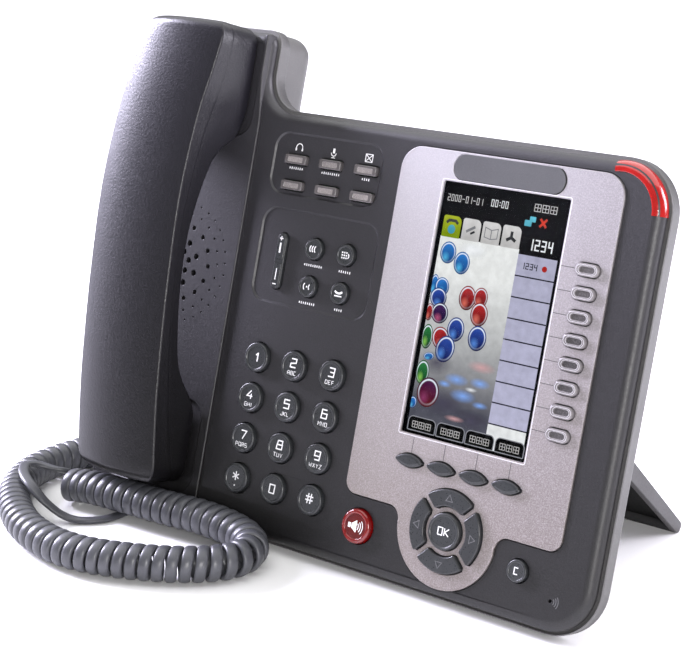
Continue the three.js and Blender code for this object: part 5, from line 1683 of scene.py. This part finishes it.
def stand_leg():
    b = Build()
    left, right, wall = STAND["left"], STAND["right"], STAND["wall"]
    outline = leg_side()
    plate(b, left, left + wall, outline)
    plate(b, right - wall, right, outline)
    # the panel between the side plates, on the side that faces up
    inner_left, inner_right = left + wall - 0.1, right - wall + 0.1
    start = 5.5
    end = STAND["length"] - STAND["foot"]
    top_start = -STAND["depth"] / 2
    top_end = -STAND["foot"]
    panel = [(start, top_start + 0.05), (end, top_end + 0.05), (end, top_end + STAND["sheet"]),
             (start, top_start + STAND["sheet"])]
    for i, (s, t) in enumerate(panel):
        s2, t2 = panel[(i + 1) % 4]
        facing = {0: (0, -1), 1: (1, 0), 2: (0, 1), 3: (-1, 0)}[i]
        steps = 24 if i in (0, 2) else 1
        rows = []
        for k in range(steps + 1):
            a, c = s + (s2 - s) * k / steps, t + (t2 - t) * k / steps
            rows.append(b.add_points([stand_point(inner_left, a, c), stand_point(inner_right, a, c)],
                                     [stand_normal(0, *facing)] * 2))
        # the panel's face towards the desk is painted shade
        b.bridge(rows, 2, 1 if i == 2 else 0, closed=False)
    # foot rod and barrel
    for s, radius, slot in ((STAND["length"] - STAND["foot"], STAND["foot"], 2), (0, STAND["barrel"], 0)):
        ring = [(s + radius * math.cos(a), radius * math.sin(a), math.cos(a), math.sin(a))
                for a in (2 * math.pi * i / 24 for i in range(24))]
        plate(b, inner_left, inner_right, ring, 0.1, slot)
    # ribs under the panel: a side section in (along, across), and a face between each two of its corners
    low, high = start + 2, end - 6
    section = [(low, top_start + STAND["sheet"] - 0.1), (high, top_end + STAND["sheet"] - 0.1),
               (high, STAND["foot"] - 1.2), (low, STAND["depth"] / 2 - 1.4)]
    # the ribs under the panel are painted shade
    for i in range(1, RIBS + 1):
        x = left + (right - left) * i / (RIBS + 1)
        near, far = x - RIB_WIDTH / 2, x + RIB_WIDTH / 2
        for side, way in ((near, -1), (far, 1)):
            b.flat([stand_point(side, *corner) for corner in section], stand_normal(way, 0, 0), 1)
        for one, two, facing in ((1, 2, (1, 0)), (2, 3, (0, 1)), (3, 0, (-1, 0))):
            b.flat([stand_point(near, *section[one]), stand_point(far, *section[one]),
                    stand_point(far, *section[two]), stand_point(near, *section[two])],
                   stand_normal(0, *facing), 1)
    b.make("stand_leg_plate", [STAND_PLASTIC, PAINTED_SHADE_BLACK, RUBBER], "stand", ["stand_leg"], "stand")


# ---- plugs ---------------------------------------------------------------------------------------
PLUG_SIDE = 3.1
PLUG_CORNER = 0.6
CONTACT_PITCH, CONTACT_WIDTH, CONTACT_RISE = 1.02, 0.4, 0.03


def box_run(b, outline_of, stations):
    """Rings given by outline_of(station) as 3-D points about a centre, joined in order and closed."""
    rings = [outline_of(s) for s in stations]
    centres = [sum(ring, Vector()) / len(ring) for ring in rings]
    starts = [b.add_points(ring, [p - centre for p in ring]) for ring, centre in zip(rings, centres)]
    b.bridge(starts, len(rings[0]))
    b.flat(rings[0], centres[0] - centres[1])
    b.flat(rings[-1], centres[-1] - centres[-2])


def squared(half_u, half_v, radius, steps=4):
    """A rounded rectangle in two directions, as offsets from its middle."""
    out = []
    for cu, cv, start in ((1, -1, -90), (1, 1, 0), (-1, 1, 90), (-1, -1, 180)):
        for i in range(steps + 1):
            a = math.radians(start + 90 * i / steps)
            out.append((cu * (half_u - radius) + radius * math.cos(a),
                        cv * (half_v - radius) + radius * math.sin(a)))
    return out


def contacts(b, point, start, end):
    """Four gold strips on a plug; point(along, across, out) places them."""
    for i in range(4):
        middle = (i - 1.5) * CONTACT_PITCH
        near, far = middle - CONTACT_WIDTH / 2, middle + CONTACT_WIDTH / 2
        b.flat([point(along, across, PLUG_SIDE + CONTACT_RISE)
                for along, across in ((start, near), (end, near), (end, far), (start, far))], UP, 1)


def base_plug():
    b = Build()
    chain = [(-183.0, -0.5), (-182.6, 0.0), (-178, 0.0), (-177.8, -0.35), (-174, -0.35), (-173.6, 0),
             (-166, 0), (-165.6, -0.5)]
    latch = [(-182.0, 0.1), (-176, 0.9), (-168, 0.3)]

    def point(along, across, out):
        return Vector((along, JACK_Y + across, JACK_Z + out))

    def ring(station):
        x, grow = station
        return [point(x, p, q) for p, q in squared(3.8 + grow, PLUG_SIDE + grow, PLUG_CORNER)]

    def bar(station):
        x, rise = station
        return [point(x, p, q - PLUG_SIDE - rise / 2) for p, q in squared(1.3, 0.25 + rise / 2, 0.15)]
    box_run(b, ring, chain)
    contacts(b, point, -176.5, -166.5)
    box_run(b, bar, latch)
    b.make("base_plug_body", [PLUG_CLEAR, GOLD], "body", ["base_plug"], "plug")


def handset_plug():
    b = Build()
    chain = [(-93.4, -0.5), (-93.0, 0), (-89.4, 0), (-89.2, -0.3), (-87, -0.3), (-86.8, 0), (-82.4, 0),
             (-82.1, -0.4)]
    socket_x, socket_z = -155, 6.4

    def point(along, across, out):
        return Vector((socket_x + across, along, socket_z + out))

    def ring(station):
        y, grow = station
        return [point(y, p, q) for p, q in squared(3.9 + grow, PLUG_SIDE + grow, PLUG_CORNER)]
    box_run(b, ring, chain)
    contacts(b, point, -91, -83)
    b.make("handset_plug_body", [PLUG_CLEAR, GOLD], "handset", ["handset_plug"], "plug")


# ---- inner parts kept from the frame -------------------------------------------------------------
def keep(name, material):
    """A CAD part that stays as it is and takes a procedural material."""
    part = bpy.data.objects[name]
    part.data.materials.clear()
    part.data.materials.append(material)


# ---- floor, light and view -----------------------------------------------------------------------
FLOOR_REACH = 40


def pale_floor():
    n = Nodes("pale_floor")
    cloud = n.noise(3, 2)
    n.set("Base Color", n.mix(n.span(cloud, 0, 1), rgb(240, 240, 241), rgb(244, 244, 245)))
    n.set("Roughness", 0.85)
    data = bpy.data.meshes.new("floor")
    corners = [(-1, -1), (1, -1), (1, 1), (-1, 1)]
    data.from_pydata([(x * FLOOR_REACH, y * FLOOR_REACH, 0) for x, y in corners], [], [(0, 1, 2, 3)])
    data.materials.append(n.material)
    floor = new_object("floor", data)


def softbox(name, place, aim, width, height, energy, colour=(1, 1, 1)):
    data = bpy.data.lights.new(name, "AREA")
    data.shape = "RECTANGLE"
    data.size, data.size_y = width, height
    data.energy = energy
    data.color = colour
    lamp = new_object(name, data)
    lamp.location = place
    lamp.rotation_euler = (Vector(aim) - Vector(place)).to_track_quat("-Z", "Y").to_euler()


def world_light(strength):
    world = bpy.data.worlds.new("studio")
    world.use_nodes = True
    background = world.node_tree.nodes["Background"]
    background.inputs["Color"].default_value = (1, 1, 1, 1)
    background.inputs["Strength"].default_value = strength
    bpy.context.scene.world = world


front_cover()
hook_lever()
rear_cover()
display_bezel()
badge()
window()
lcd()
bead_discs()
corner_light()
digit_keys()
call_keys()
menu_keys()
line_keys()
soft_keys()
nav_keys()
lettered_keys()
volume_rocker()
speaker_key()
face_marks()
handset()
stand_leg()
base_plug()
handset_plug()
keep("main_board", BOARD)
keep("loudspeaker", CONE)

bpy.context.scene.view_settings.view_transform = "Standard"
world_light(0.3)
pale_floor()
softbox("top", (-0.3, 0.6, 1.8), (0, 0.4, 0), 3.0, 3.4, 66)
softbox("right_back", (1.5, 0.9, 0.9), (0.05, 0, 0.08), 0.8, 1.2, 46, (0.93, 0.9, 1.0))
softbox("left", (-1.5, -0.25, 0.75), (-0.1, 0, 0.16), 0.35, 0.8, 88, (0.83, 0.80, 1.0))
softbox("front_right", (1.3, -1.4, 0.62), (0, 0, 0.1), 0.3, 0.7, 26, (1, 0.98, 0.97))
